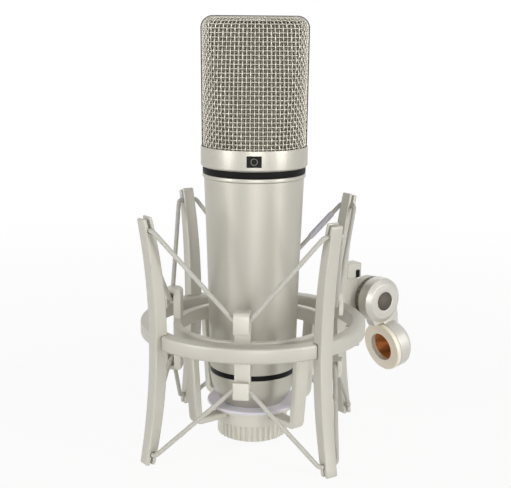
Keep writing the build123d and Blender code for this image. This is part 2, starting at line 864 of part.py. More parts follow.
with BuildPart() as pattern_plate:
    with BuildSketch(Plane.XZ.offset(collar_r - plate_sink)):
        with Locations((0, collar_low_z + collar_height / 2)):
            Rectangle(plate_width, plate_height)
    extrude(amount=plate_sink + plate_proud)
finish(pattern_plate.part, "pattern_plate")

with BuildPart() as head_deck:
    with BuildSketch(Plane.XY.offset(deck_top_z - deck_height)):
        Circle(collar_r - collar_wall - running_gap)
    extrude(amount=deck_height)
finish(head_deck.part, "head_deck")


def head_form(inset):
    """The head's solid form: a round base whose front and back slope in to a narrow crown."""
    base_r = head_base_r - inset
    top_r = head_top_r - inset
    top_half = head_top_depth / 2 - inset
    top_z = head_high_z - inset
    with BuildPart() as form:
        with BuildSketch(Plane.XY.offset(head_low_z)):
            Circle(base_r)
        with BuildSketch(Plane.XY.offset(top_z)):
            Circle(top_r)
        loft()
        with BuildSketch(Plane.YZ.offset(-2 * top_r)):
            with BuildLine():
                Polyline(
                    (-base_r, head_low_z),
                    (base_r, head_low_z),
                    (base_r, collar_high_z),
                    (top_half, top_z),
                    (-top_half, top_z),
                    (-base_r, collar_high_z),
                    close=True,
                )
            make_face()
        extrude(amount=4 * top_r, mode=Mode.INTERSECT)
        crown = form.faces().sort_by(Axis.Z)[-1]
        fillet(crown.edges(), head_top_round - inset)
    return form.part


with BuildPart() as outer_mesh_head:
    add(head_form(0))
    add(head_form(mesh_wall), mode=Mode.SUBTRACT)
finish(outer_mesh_head.part, "outer_mesh_head")

inner_mesh_inset = mesh_wall + inner_mesh_gap
with BuildPart() as inner_mesh_head:
    add(head_form(inner_mesh_inset))
    add(head_form(inner_mesh_inset + inner_mesh_wall), mode=Mode.SUBTRACT)
finish(inner_mesh_head.part, "inner_mesh_head")

# ---- capsule ----

capsule_z = deck_top_z + post_height + capsule_r - saddle_depth
with BuildPart() as capsule_body:
    with BuildSketch(Plane.XZ):
        with Locations((0, capsule_z)):
            Circle(capsule_r)
    extrude(amount=capsule_depth / 2, both=True)
finish(capsule_body.part, "capsule_body")

with BuildPart() as capsule_post:
    with BuildSketch(Plane.XY.offset(deck_top_z)):
        Circle(post_r)
    extrude(amount=post_height)
    with BuildSketch(Plane.XZ):
        with Locations((0, capsule_z)):
            Circle(capsule_r)
    extrude(amount=2 * post_r, both=True, mode=Mode.SUBTRACT)
finish(capsule_post.part, "capsule_post")

for side_name, way in (("front", 1), ("rear", -1)):
    face = Plane(
        origin=(0, -way * capsule_depth / 2, capsule_z), x_dir=(1, 0, 0), z_dir=(0, -way, 0)
    )
    with BuildPart() as diaphragm:
        with BuildSketch(face):
            Circle(capsule_r - capsule_ring_width)
        extrude(amount=diaphragm_depth)
    finish(diaphragm.part, f"{side_name}_diaphragm")
    with BuildPart() as clamp_ring:
        with BuildSketch(face):
            Circle(capsule_r)
            Circle(capsule_r - capsule_ring_width, mode=Mode.SUBTRACT)
        extrude(amount=capsule_ring_depth)
    finish(clamp_ring.part, f"{side_name}_clamp_ring")

with BuildPart() as capsule_screws:
    for way in (1, -1):
        face = Plane(
            origin=(0, -way * (capsule_depth / 2 + capsule_ring_depth), capsule_z),
            x_dir=(1, 0, 0),
            z_dir=(0, -way, 0),
        )
        with BuildSketch(face):
            with PolarLocations(capsule_r - capsule_ring_width / 2, capsule_screw_count):
                Circle(capsule_screw_r)
        extrude(amount=capsule_screw_r)
finish(capsule_screws.part, "capsule_screws")

# ---- electronics inside the body tube ----

deck_low_z = deck_top_z - deck_height
rail_low_z = bell_top_z
with BuildPart() as chassis_rails:
    with BuildSketch(Plane.XY.offset(rail_low_z)):
        with Locations((rail_offset, 0), (-rail_offset, 0)):
            Circle(rail_r)
    extrude(amount=deck_low_z - rail_low_z)
finish(chassis_rails.part, "chassis_rails")

board_low_z = rail_low_z + transformer_height + board_clearance
board_span = 2 * (rail_offset - rail_r)
with BuildPart() as circuit_board:
    with BuildSketch(Plane.XZ):
        with Locations((0, board_low_z + board_height / 2)):
            Rectangle(board_span, board_height)
    extrude(amount=board_depth / 2, both=True)
finish(circuit_board.part, "circuit_board")

with BuildPart() as output_transformer:
    with BuildSketch(Plane.XY.offset(rail_low_z)):
        Rectangle(transformer_width, transformer_depth)
    extrude(amount=transformer_height)
    fillet(output_transformer.edges().filter_by(Axis.Z), transformer_edge)
finish(output_transformer.part, "output_transformer")

with BuildPart() as board_capacitors:
    with BuildSketch(Plane.XZ.offset(board_depth / 2)):
        with Locations(*[(across, board_low_z + up) for across, up in capacitor_places]):
            Circle(capacitor_r)
    extrude(amount=capacitor_length)
finish(board_capacitors.part, "board_capacitors")

# ---- connector in the stem ----

insert_low_z = stem_low_z + connector_depth - insert_height
with BuildPart() as connector_insert:
    with BuildSketch(Plane.XY.offset(insert_low_z)):
        Circle(connector_bore_r)
        with PolarLocations(pin_circle_r, pin_count, start_angle=pin_turn):
            Circle(pin_r, mode=Mode.SUBTRACT)
    extrude(amount=insert_height)
finish(connector_insert.part, "connector_insert")

with BuildPart() as connector_pins:
    with BuildSketch(Plane.XY.offset(stem_low_z + connector_depth - pin_length)):
        with PolarLocations(pin_circle_r, pin_count, start_angle=pin_turn):
            Circle(pin_r)
    extrude(amount=pin_length)
finish(connector_pins.part, "connector_pins")
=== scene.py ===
import math

import bmesh
import bpy
from mathutils import Matrix, Vector


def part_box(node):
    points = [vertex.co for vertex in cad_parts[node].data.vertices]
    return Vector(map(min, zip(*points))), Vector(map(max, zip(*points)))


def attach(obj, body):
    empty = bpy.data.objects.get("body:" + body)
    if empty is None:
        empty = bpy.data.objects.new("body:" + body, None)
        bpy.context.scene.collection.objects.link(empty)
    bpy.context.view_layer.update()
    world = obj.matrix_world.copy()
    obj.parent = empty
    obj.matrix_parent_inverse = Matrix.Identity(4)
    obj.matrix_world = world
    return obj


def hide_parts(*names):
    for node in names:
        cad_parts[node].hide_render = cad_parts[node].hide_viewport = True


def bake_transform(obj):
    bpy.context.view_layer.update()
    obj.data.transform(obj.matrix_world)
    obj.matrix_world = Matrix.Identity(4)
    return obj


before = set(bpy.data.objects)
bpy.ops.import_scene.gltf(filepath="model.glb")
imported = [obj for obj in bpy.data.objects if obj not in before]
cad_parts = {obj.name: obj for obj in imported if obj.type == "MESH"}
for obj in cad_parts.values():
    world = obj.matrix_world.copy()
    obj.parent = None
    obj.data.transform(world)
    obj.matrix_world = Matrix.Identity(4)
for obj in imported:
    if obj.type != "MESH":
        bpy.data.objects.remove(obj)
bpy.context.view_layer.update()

mm = 0.001
print("frame loaded,", len(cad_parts), "nodes")


def toLinear(hexColour):
    channels = [int(hexColour[i:i + 2], 16) / 255 for i in (1, 3, 5)]
    linear = [c / 12.92 if c <= 0.04045 else ((c + 0.055) / 1.055) ** 2.4 for c in channels]
    return (*linear, 1.0)


def addNode(tree, kind, inputs=None, **settings):
    # A node among the inputs stands for its first output.
    node = tree.nodes.new(kind)
    for key, value in settings.items():
        setattr(node, key, value)
    for socket, value in (inputs or {}).items():
        if isinstance(value, bpy.types.Node):
            value = value.outputs[0]
        if isinstance(value, bpy.types.NodeSocket):
            tree.links.new(value, node.inputs[socket])
        else:
            node.inputs[socket].default_value = value
    return node


def newMaterial(name):
    material = bpy.data.materials.new(name)
    material.use_nodes = True
    material.node_tree.nodes.clear()
    return material, material.node_tree


def showObject(name, data):
    thing = bpy.data.objects.new(name, data)
    bpy.context.scene.collection.objects.link(thing)
    return thing


def closedMesh(name, form):
    # Ends a form that was built face by face, with its faces turned outwards.
    bmesh.ops.recalc_face_normals(form, faces=form.faces)
    mesh = bpy.data.meshes.new(name)
    form.to_mesh(mesh)
    form.free()
    return mesh


def joinRows(form, rows, closed=True):
    # Faces between each row of corners and the next; a closed row runs round to its start.
    for low, high in zip(rows, rows[1:]):
        for i in range(len(low) if closed else len(low) - 1):
            j = (i + 1) % len(low)
            form.faces.new((low[i], low[j], high[j], high[i]))


# A still camera in front of the microphone, a little above its middle and looking down.
cameraView = {
    "place": (0.001, -0.570, 0.2273),
    "pitchDown": 11.8,      # degrees
    "roll": 0.45,
    "lens": 77.1, "sensor": 36.0,
    "reach": (0.01, 20.0),  # what lies nearer or further isn't seen
}
lensData = bpy.data.cameras.new("stillCamera")
lensData.lens = cameraView["lens"]
lensData.sensor_width = cameraView["sensor"]
lensData.clip_start, lensData.clip_end = cameraView["reach"]
stillCamera = showObject("stillCamera", lensData)
aim = Matrix.Rotation(math.radians(90 - cameraView["pitchDown"]), 4, "X")
aim = aim @ Matrix.Rotation(math.radians(cameraView["roll"]), 4, "Z")
stillCamera.matrix_world = Matrix.Translation(cameraView["place"]) @ aim
bpy.context.scene.camera = stillCamera


def twoTones(tree, share, low, high):
    return addNode(tree, "ShaderNodeMix", {
        "Factor": share, "A": toLinear(low), "B": toLinear(high)},
        data_type="RGBA").outputs["Result"]


# What most metals here share; sizes are in mm.
usualMetal = {"grainSize": 0.4, "glossDrift": 0.06, "bump": 0.1, "bumpDepth": 0.05}


def coatedMetal(name, **look):
    # Two close tones drift over the surface in soft clouds, and a fine grain breaks up the gloss.
    look = {**usualMetal, **look}
    material, tree = newMaterial(name)
    place = addNode(tree, "ShaderNodeTexCoord").outputs["Object"]
    cloud = addNode(tree, "ShaderNodeTexNoise", {
        "Vector": place, "Scale": 1000 / look["cloudSize"], "Detail": 2.0})
    grain = addNode(tree, "ShaderNodeTexNoise", {
        "Vector": place, "Scale": 1000 / look["grainSize"], "Detail": 2.0, "Roughness": 0.6})
    gloss = addNode(tree, "ShaderNodeMapRange", {
        "Value": grain, "From Min": 0.25, "From Max": 0.75,
        "To Min": look["roughness"] - look["glossDrift"],
        "To Max": look["roughness"] + look["glossDrift"]})
    height = grain
    if "turnPitch" in look:      # lathe marks round the axis, 2 pi times this far apart
        marks = addNode(tree, "ShaderNodeTexWave", {
            "Vector": place, "Scale": 50 / look["turnPitch"], "Distortion": 1.5, "Detail": 2.0},
            bands_direction="Z")
        height = addNode(tree, "ShaderNodeMix", {
            "Factor": look["turnShare"], "A": grain, "B": marks.outputs["Fac"]}).outputs["Result"]
    bump = addNode(tree, "ShaderNodeBump", {
        "Height": height, "Strength": look["bump"], "Distance": look["bumpDepth"] * mm})
    shader = addNode(tree, "ShaderNodeBsdfPrincipled", {
        "Base Color": twoTones(tree, cloud, look["base"], look["shade"]),
        "Metallic": look["metallic"], "Roughness": gloss, "Normal": bump})
    addNode(tree, "ShaderNodeOutputMaterial", {"Surface": shader})
    return material


# What most moulded pieces share; glow is the share of light that enters the surface.
usualPolymer = {"bump": 0.1, "ior": 1.5, "glow": 0.0, "bumpDepth": 0.1, "glowReach": 2.0}


def mouldedPolymer(name, **look):
    # Moulded surfaces: an even colour with slight clouds and the fine skin of the mould.
    look = {**usualPolymer, **look}
    material, tree = newMaterial(name)
    place = addNode(tree, "ShaderNodeTexCoord").outputs["Object"]
    cloud = addNode(tree, "ShaderNodeTexNoise", {
        "Vector": place, "Scale": 1000 / look["cloudSize"], "Detail": 3.0})
    skin = addNode(tree, "ShaderNodeTexNoise", {
        "Vector": place, "Scale": 1000 / look["grainSize"], "Detail": 2.0})
    bump = addNode(tree, "ShaderNodeBump", {
        "Height": skin, "Strength": look["bump"], "Distance": look["bumpDepth"] * mm})
    shader = addNode(tree, "ShaderNodeBsdfPrincipled", {
        "Base Color": twoTones(tree, cloud, look["base"], look["shade"]),
        "Roughness": look["roughness"], "IOR": look["ior"], "Normal": bump,
        "Subsurface Weight": look["glow"], "Subsurface Scale": look["glowReach"] * mm})
    addNode(tree, "ShaderNodeOutputMaterial", {"Surface": shader})
    return material


# Nickel plate on a turned brass body, bead-blasted before plating: broad, soft highlights.
satinNickelPlate = coatedMetal("satinNickelPlateBlasted", base="#bfbcb2", shade="#b7b4a9",
    cloudSize=60.0, grainSize=0.5, roughness=0.4, glossDrift=0.04, bump=0.06, metallic=0.6,
    turnPitch=0.6, turnShare=0.25)
# Champagne pearl lacquer on zinc die castings: a touch warmer and flatter than the plate.
pearlLacquer = coatedMetal("pearlLacquerOnZincCasting", base="#c8c5bb", shade="#bfbcb2",
    cloudSize=40.0, grainSize=0.7, roughness=0.45, glossDrift=0.05, bumpDepth=0.08, metallic=0.3)
# The lever is polished before its lacquer, so it reads whiter and sharper than the frame.
polishedLacquer = coatedMetal("clearLacquerOnPolishedZinc", base="#d0cdc6", shade="#c6c3bb",
    cloudSize=20.0, grainSize=0.7, roughness=0.4, glossDrift=0.03, bump=0.04, bumpDepth=0.04,
    metallic=0.5)
# A dark steel colour, duller than the wires, for the dark strip on the head; the same colour
# paints the shade in the gaps where the ring enters the arms.
darkStripAndGapShadeSteel = coatedMetal("darkSteelStripAndGapShade", base="#45433d", shade="#3a3833", cloudSize=9.0,
    grainSize=0.5, roughness=0.55, glossDrift=0.05, metallic=0.3)
# The cradle and its nut wear the frame's lacquer, painted a shade lighter because they sit low and
# get less light than the frame.
lighterPaintedLacquer = coatedMetal("pearlLacquerPaintedLighter", base="#d8d5cb", shade="#cfccc1",
    cloudSize=40.0, grainSize=0.5, roughness=0.45, glossDrift=0.04, bump=0.08, metallic=0.3)
# The same lacquer on the socket's face ring, warmer, and painted much lighter because the face
# tilts down and gets little light.
lighterPaintedCreamLacquer = coatedMetal("creamLacquerPaintedLighterOnRing", base="#f6eddd", shade="#eee4d2",
    cloudSize=25.0, grainSize=0.6, roughness=0.45, glossDrift=0.04, bump=0.08, bumpDepth=0.06,
    metallic=0.35)
# Dull dark nickel on the pivot's steel bolt: almost no highlight.
darkNickelSteel = coatedMetal("darkNickelTurnedSteel", base="#665f57", shade="#585249",
    cloudSize=8.0, grainSize=0.3, roughness=0.6, bump=0.15, metallic=0.4)
# Grey zinc plate on the pressed, serrated disc: uneven and half dull.
zincPlate = coatedMetal("zincPlatedPressedSteel", base="#8b877c", shade="#777368", cloudSize=6.0,
    grainSize=0.3, roughness=0.5, glossDrift=0.08, bump=0.2, metallic=0.6)
# Bare turned brass, browned in the thread: a deep orange glow inside the socket.
turnedBrass = coatedMetal("turnedBrassThread", base="#b9743a", shade="#93562a", cloudSize=6.0,
    grainSize=0.3, roughness=0.38, glossDrift=0.08, bump=0.15, metallic=0.75)
# Nickel-plated drawn wire of the woven head: its crowns shine and its sides fall dark.
drawnWire = coatedMetal("nickelPlatedDrawnWire", base="#c7c4b8", shade="#b6b2a5", cloudSize=12.0,
    roughness=0.34, metallic=0.7)
# Inside: gold on film and contacts, a brass capsule, drawn rails and a varnished core.
goldFilm = coatedMetal("goldSputteredFilm", base="#d8b262", shade="#c99f4e", cloudSize=10.0,
    grainSize=0.5, roughness=0.2, glossDrift=0.04, bump=0.05, metallic=1.0)
milledBrass = coatedMetal("milledYellowBrass", base="#b99a5b", shade="#a5874a", cloudSize=10.0,
    roughness=0.3, metallic=1.0)
drawnAluminium = coatedMetal("drawnAluminiumRod", base="#c4c4c2", shade="#b4b4b2", cloudSize=15.0,
    roughness=0.35, metallic=1.0)
laminatedCore = coatedMetal("varnishedTransformerCore", base="#3b3a3c", shade="#29282a",
    cloudSize=6.0, grainSize=0.5, roughness=0.5, glossDrift=0.08, bump=0.3, bumpDepth=0.1,
    metallic=0.3)

# Moulded black rubber gasket, semi-matt; the same black also paints the shade inside the bracket's
# slots.
blackGasketAndSlotShade = mouldedPolymer("mouldedBlackRubberAndSlotShade", base="#0f0e0e", shade="#151413", cloudSize=20.0,
    grainSize=0.6, bump=0.15, roughness=0.5, ior=1.2)
# Black enamel fired into the band: a harder gloss than the rubber.
blackEnamel = mouldedPolymer("blackBakedEnamel", base="#0e0d0d", shade="#131211", cloudSize=20.0,
    grainSize=0.9, bump=0.05, roughness=0.38, ior=1.22)
# Soft pale silicone, a little see-through at its edge.
paleSilicone = mouldedPolymer("mouldedLilacSilicone", base="#e8e5ef", shade="#dfdce8",
    cloudSize=15.0, grainSize=0.8, roughness=0.45, glow=0.15, ior=1.43)
# Heat-shrunk sleeve over the cord's joint.
shrinkSleeve = mouldedPolymer("heatShrunkPolyolefin", base="#d2d0d8", shade="#c9c7d0",
    cloudSize=5.0, grainSize=1.2, bump=0.25, roughness=0.5)
# Inside: cream and black insulators, a green board and capacitors in blue sleeves.
creamInsulator = mouldedPolymer("mouldedCreamAcetal", base="#dcd7c9", shade="#d2ccbd",
    cloudSize=12.0, grainSize=0.6, roughness=0.45)
blackInsulator = mouldedPolymer("mouldedBlackPhenolic", base="#222020", shade="#1a1818",
    cloudSize=8.0, grainSize=0.5, bump=0.15, roughness=0.4)
greenLaminate = mouldedPolymer("greenSolderMaskLaminate", base="#1f5a33", shade="#1a4e2c",
    cloudSize=8.0, grainSize=0.9, bump=0.2, roughness=0.35)
blueSleeve = mouldedPolymer("bluePvcSleevedCan", base="#2b3f7a", shade="#24366b", cloudSize=5.0,
    grainSize=0.6, roughness=0.3)


def threadCover(name, look, placeName, heightOf):
    # heightOf gives the threads' height at a place; its limits are where each tone is full. The
    # low places take the shade tone as painted shade.
    material, tree = newMaterial(name)
    place = addNode(tree, "ShaderNodeAttribute", attribute_name=placeName).outputs["Vector"]
    parts = addNode(tree, "ShaderNodeSeparateXYZ", {"Vector": place})
    share = addNode(tree, "ShaderNodeMapRange", {
        "Value": heightOf(tree, parts, look), "From Min": look["limits"][0],
        "From Max": look["limits"][1]})
    bump = addNode(tree, "ShaderNodeBump", {
        "Height": share, "Strength": look["bump"], "Distance": look["bumpDepth"] * mm})
    shader = addNode(tree, "ShaderNodeBsdfPrincipled", {
        "Base Color": twoTones(tree, share, look["shade"], look["base"]),
        "Roughness": look["roughness"], "Metallic": look["metallic"], "Normal": bump,
        "Sheen Weight": look["sheen"]})
    addNode(tree, "ShaderNodeOutputMaterial", {"Surface": shader})
    return material


def braidHeight(tree, parts, look):
    # Two sets of threads wind round the rubber core in opposite ways and cross as a braid.
    turn = addNode(tree, "ShaderNodeMath", {
        0: parts.outputs["Z"], 1: parts.outputs["Y"]}, operation="ARCTAN2")
    along = addNode(tree, "ShaderNodeMath", {
        0: parts.outputs["X"], 1: 2 * math.pi / (look["braidPitch"] * mm)}, operation="MULTIPLY")
    around = addNode(tree, "ShaderNodeMath", {0: turn, 1: look["threads"]}, operation="MULTIPLY")
    waves = []
    for way in ("ADD", "SUBTRACT"):
        wound = addNode(tree, "ShaderNodeMath", {0: along, 1: around}, operation=way)
        waves.append(addNode(tree, "ShaderNodeMath", {0: wound}, operation="SINE"))
    return addNode(tree, "ShaderNodeMath", {0: waves[0], 1: waves[1]}, operation="MULTIPLY")


def netHeight(tree, parts, look):
    # The gauze inside the head is too fine to show, so its holes are drawn about twice as wide.
    ridges = []
    for axis in ("X", "Y"):
        scaled = addNode(tree, "ShaderNodeMath", {
            0: parts.outputs[axis], 1: 2 * math.pi / (look["pitch"] * mm)}, operation="MULTIPLY")
        ridges.append(addNode(tree, "ShaderNodeMath", {0: scaled}, operation="COSINE"))
    return addNode(tree, "ShaderNodeMath", {0: ridges[0], 1: ridges[1]}, operation="MAXIMUM")


# Polyester braided over a rubber core: matt, with a fine diamond relief and painted shade in the
# hollows between its threads.
braidedElastic = threadCover("polyesterBraidOverRubber", {
    "base": "#cdcbc3", "shade": "#b5b3aa", "braidPitch": 1.6, "threads": 6.0,
    "limits": (-1.0, 1.0), "bump": 0.5, "bumpDepth": 0.15, "roughness": 0.7, "metallic": 0.0,
    "sheen": 0.2}, "cordPlace", braidHeight)
# Fine bronze gauze behind the wires: dull, with painted shade in its holes for the dark inside of
# the head seen through them.
gauzeMaterial = threadCover("wovenBronzeGauze", {
    "base": "#8f8875", "shade": "#332f26", "pitch": 1.1, "limits": (-0.2, 0.9), "bump": 0.6,
    "bumpDepth": 0.3, "roughness": 0.5, "metallic": 0.4, "sheen": 0.0}, "netPlace", netHeight)
print("materials made")


def keepPiece(name, mesh, body, slotName, material, nodes=(), sharp=35):
    # A piece with no nodes is a surface detail that stands in for none of its own.
    mesh.materials.clear()
    mesh.materials.append(material)
    mesh.shade_smooth()
    mesh.set_sharp_from_angle(angle=math.radians(sharp))
    for face in mesh.polygons:
        if len(face.vertices) > 8:      # caps with many corners lie flat
            face.use_smooth = False
    piece = showObject(name, mesh)
    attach(piece, body)
    if nodes:
        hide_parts(*nodes)
    return piece


# Body, slot and material that go together on many pieces.
frameFinish = ("frame", "satin_nickel_frame", pearlLacquer)
cradleFinish = ("cradle", "satin_nickel_frame", lighterPaintedLacquer)
bodyFinish = ("microphone", "satin_nickel_body", satinNickelPlate)
weld = 1e-7      # corners closer than this are one, in metres
squareCorners = ((-1, -1), (1, -1), (1, 1), (-1, 1))


def softCorners(points, steps=5):
    # Points are (across, up) or (across, up, corner radius); the outline is closed.
    outline = []
    for i, point in enumerate(points):
        here = Vector(point[:2])
        if len(point) < 3:
            outline.append(here)
            continue
        before = (Vector(points[i - 1][:2]) - here).normalized()
        after = (Vector(points[(i + 1) % len(points)][:2]) - here).normalized()
        half = before.angle(after) / 2
        centre = here + (before + after).normalized() * point[2] / math.sin(half)
        start = here + before * point[2] / math.tan(half) - centre
        end = here + after * point[2] / math.tan(half) - centre
        outline += [centre + start.slerp(end, k / steps) * point[2] for k in range(steps + 1)]
    return outline


def arcThrough(a, b, c, steps):
    # Points of the circle through a, b and c, from a to c, without c itself.
    a, b, c = Vector(a), Vector(b), Vector(c)
    d = 2 * (a.x * (b.y - c.y) + b.x * (c.y - a.y) + c.x * (a.y - b.y))
    x = (a.length_squared * (b.y - c.y) + b.length_squared * (c.y - a.y)
         + c.length_squared * (a.y - b.y)) / d
    y = (a.length_squared * (c.x - b.x) + b.length_squared * (a.x - c.x)
         + c.length_squared * (b.x - a.x)) / d
    centre = Vector((x, y))
    first = math.atan2(a.y - y, a.x - x)
    turn = math.atan2(c.y - y, c.x - x) - first
    middle = math.atan2(b.y - y, b.x - x) - first
    turn = (turn + math.pi) % (2 * math.pi) - math.pi
    middle = (middle + math.pi) % (2 * math.pi) - math.pi
    if turn * middle < 0:
        turn += math.copysign(2 * math.pi, middle)
    radius = (a - centre).length
    angles = [first + turn * k / steps for k in range(steps)]
    return [(x + radius * math.cos(t), y + radius * math.sin(t)) for t in angles]


def weldCorners(form):
    bmesh.ops.remove_doubles(form, verts=form.verts, dist=weld)
    bmesh.ops.dissolve_degenerate(form, edges=form.edges, dist=weld / 10)


def turnedMesh(name, outline, segments=192):
    # Spins a closed outline of (radius, height), in mm, round Z.
    form = bmesh.new()
    columns = []
    for k in range(segments):
        turn = 2 * math.pi * k / segments
        across = (math.cos(turn) * mm, math.sin(turn) * mm)
        columns.append([form.verts.new((p[0] * across[0], p[0] * across[1], p[1] * mm))
                        for p in outline])
    joinRows(form, [*columns, columns[0]])
    weldCorners(form)
    return closedMesh(name, form)


def turnedPiece(name, outline, finish, node, segments=192):
    mesh = turnedMesh(name, softCorners(outline), segments)
    return keepPiece(name, mesh, *finish, [node])


def radialPlace(azimuth):
    # Columns: outwards at this azimuth, up, and across.
    a = math.radians(azimuth)
    outwards = Vector((math.sin(a), -math.cos(a), 0))
    across = Vector((-math.cos(a), -math.sin(a), 0))
    return outwards, Vector((0, 0, 1)), across


sharpestMitre = 0.6      # limits how far a sharp corner moves in when its edge is rounded


def barMesh(name, outline, azimuth, halfWidth, edge, steps=3):
    # An outline of (radius, height), given thickness sideways, with its long edges rounded.
    outwards, up, across = radialPlace(azimuth)
    count = len(outline)
    area = sum(outline[i - 1].x * outline[i].y - outline[i].x * outline[i - 1].y
               for i in range(count))
    way = 1 if area > 0 else -1
    inwards = []
    for i in range(count):
        a = (outline[i] - outline[i - 1]).normalized()
        b = (outline[(i + 1) % count] - outline[i]).normalized()
        normals = [Vector((-v.y, v.x)) * way for v in (a, b)]
        middle = (normals[0] + normals[1]).normalized()
        inwards.append(middle / max(middle.dot(normals[0]), sharpestMitre))
    form = bmesh.new()
    layers = []
    for side in (-1, 1):
        turns = [k / steps * math.pi / 2 for k in range(steps + 1)]
        for turn in turns if side < 0 else reversed(turns):
            layer = []
            for point, inward in zip(outline, inwards):
                half = halfWidth(point.y) if callable(halfWidth) else halfWidth
                flat = point + inward * edge * (1 - math.sin(turn))
                off = side * (half - edge * (1 - math.cos(turn)))
                layer.append(form.verts.new(
                    (outwards * flat.x + up * flat.y + across * off) * mm))
            layers.append(layer)
    joinRows(form, layers)
    form.faces.new(layers[0])
    form.faces.new(layers[-1])
    return closedMesh(name, form)


def mergedCopy(node):
    # A CAD node's triangles, joined at their shared corners.
    form = bmesh.new()
    form.from_mesh(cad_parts[node].data)
    weldCorners(form)
    mesh = bpy.data.meshes.new(node + "Copy")
    form.to_mesh(mesh)
    form.free()
    return mesh


def bakedMesh(holder, name):
    # The plain mesh that an object's modifiers make; the object itself goes.
    bpy.context.view_layer.update()
    made = bpy.data.meshes.new_from_object(
        holder.evaluated_get(bpy.context.evaluated_depsgraph_get()))
    holder.modifiers.clear()
    bpy.data.objects.remove(holder)
    made.name = name
    return made


def throughTree(name, mesh, tree, values):
    # Runs a node tree on a mesh or curve and gives back the plain mesh that it makes.
    holder = showObject(name, mesh)
    modifier = holder.modifiers.new("nodes", "NODES")
    modifier.node_group = tree
    for item in tree.interface.items_tree:
        if item.item_type == "SOCKET" and item.in_out == "INPUT" and item.name in values:
            modifier[item.identifier] = values[item.name]
    return bakedMesh(holder, name)


def newTree(name, inputs):
    # A tree that takes a form and these values, each with its default.
    tree = bpy.data.node_groups.new(name, "GeometryNodeTree")
    tree.interface.new_socket("Geometry", in_out="INPUT", socket_type="NodeSocketGeometry")
    for title, value in inputs.items():
        kind = "NodeSocketInt" if isinstance(value, int) else "NodeSocketFloat"
        socket = tree.interface.new_socket(title, in_out="INPUT", socket_type=kind)
        socket.default_value = value
    tree.interface.new_socket("Geometry", in_out="OUTPUT", socket_type="NodeSocketGeometry")
    return tree, addNode(tree, "NodeGroupInput")


def closeTree(tree, geometry, material):
    real = addNode(tree, "GeometryNodeRealizeInstances", {"Geometry": geometry})
    painted = addNode(tree, "GeometryNodeSetMaterial", {"Geometry": real, "Material": material})
    addNode(tree, "NodeGroupOutput", {"Geometry": painted})


def extent(node):
    # Outer radius, lowest and highest height of a node round the Z axis, in mm.
    low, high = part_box(node)
    return high.x / mm, low.z / mm, high.z / mm


suspension = {
    "turn": -9.0,           # degrees that the frame is turned from the microphone's front
    "cradleTurn": -7.0,     # and the cradle
    "midHeight": 64.4,
    "armRadius": 59.6, "armBow": 7.0,
    "armWidth": 7.6, "armDepth": 6.6, "tipWidth": 6.6, "tipDepth": 5.4,
    "slotDepth": 7.0, "slotHalf": 1.35, "mouthHalf": 0.6, "slotSteps": 16, "bladeRise": 1.1,
}
hookTurns = {"Front": 0, "Right": 90, "Back": 180, "Left": 270}
armTurns = {"FrontLeft": -45, "FrontRight": 45, "BackRight": 135, "BackLeft": 225}
armPlaces = {"FrontLeft": "front_left", "FrontRight": "front_right",
             "BackRight": "back_right", "BackLeft": "back_left"}
armTop = 2 * suspension["midHeight"]
upperSlot = armTop - suspension["slotDepth"] + suspension["slotHalf"]
lowerSlot = suspension["slotDepth"] - suspension["slotHalf"]


def armEdge(height, side):
    # Radius of an arm's outer (1) or inner (-1) edge, on the arc through its tips and middle.
    half = suspension["midHeight"]
    bow = suspension["armBow"] - side * (suspension["armDepth"] - suspension["tipDepth"]) / 2
    radius = (half**2 + bow**2) / (2 * bow)
    middle = suspension["armRadius"] + side * suspension["armDepth"] / 2
    return middle + radius - math.sqrt(radius**2 - (height - half) ** 2)


def armCentre(height):
    return (armEdge(height, 1) + armEdge(height, -1)) / 2


slotRadius = armCentre(upperSlot)
hooks = {
    "inner": 38.9, "strap": 42.9, "sheet": 2.2, "mouth": 3.3, "width": 8.2,
    "top": 83.0, "bottom": 37.4, "lipDrop": 11.2, "lipRise": 9.3, "edge": 0.35,
    "topRound": 3.0, "footRound": 1.2, "lipRound": 0.5,
    "seatSink": 0.8, "seatEnd": 0.6,      # where the strap is let into the ring
    "archSteps": 12,
}
hookCordRadius = hooks["strap"] + hooks["mouth"] / 2


def cordTree(material):
    tree, given = newTree("cordAlongPath", {"Cord Radius": 0.0012, "Sides": 14, "Step": 0.001})
    steps = addNode(tree, "GeometryNodeResampleCurve", {
        "Curve": given, "Length": given.outputs["Step"]}, mode="LENGTH")
    reach = addNode(tree, "GeometryNodeSplineParameter")
    kept = addNode(tree, "GeometryNodeCaptureAttribute", domain="POINT")
    kept.capture_items.new("FLOAT", "reach")
    tree.links.new(steps.outputs["Curve"], kept.inputs["Geometry"])
    tree.links.new(reach.outputs["Length"], kept.inputs["reach"])
    ring = addNode(tree, "GeometryNodeCurvePrimitiveCircle", {
        "Resolution": given.outputs["Sides"], "Radius": given.outputs["Cord Radius"]})
    seat = addNode(tree, "GeometryNodeInputPosition")
    ringKept = addNode(tree, "GeometryNodeCaptureAttribute", domain="POINT")
    ringKept.capture_items.new("VECTOR", "seat")
    tree.links.new(ring.outputs["Curve"], ringKept.inputs["Geometry"])
    tree.links.new(seat.outputs["Position"], ringKept.inputs["seat"])
    tube = addNode(tree, "GeometryNodeCurveToMesh", {
        "Curve": kept, "Profile Curve": ringKept, "Fill Caps": True})
    parts = addNode(tree, "ShaderNodeSeparateXYZ", {"Vector": ringKept.outputs["seat"]})
    place = addNode(tree, "ShaderNodeCombineXYZ", {
        "X": kept.outputs["reach"], "Y": parts.outputs["X"], "Z": parts.outputs["Y"]})
    named = addNode(tree, "GeometryNodeStoreNamedAttribute", {
        "Geometry": tube, "Name": "cordPlace", "Value": place},
        data_type="FLOAT_VECTOR", domain="POINT")
    closeTree(tree, named, material)
    return tree


elasticTree = cordTree(braidedElastic)


def placeAt(azimuth, radius, across, height):
    outwards, up, sideways = radialPlace(azimuth)
    return (outwards * radius + up * height + sideways * across) * mm


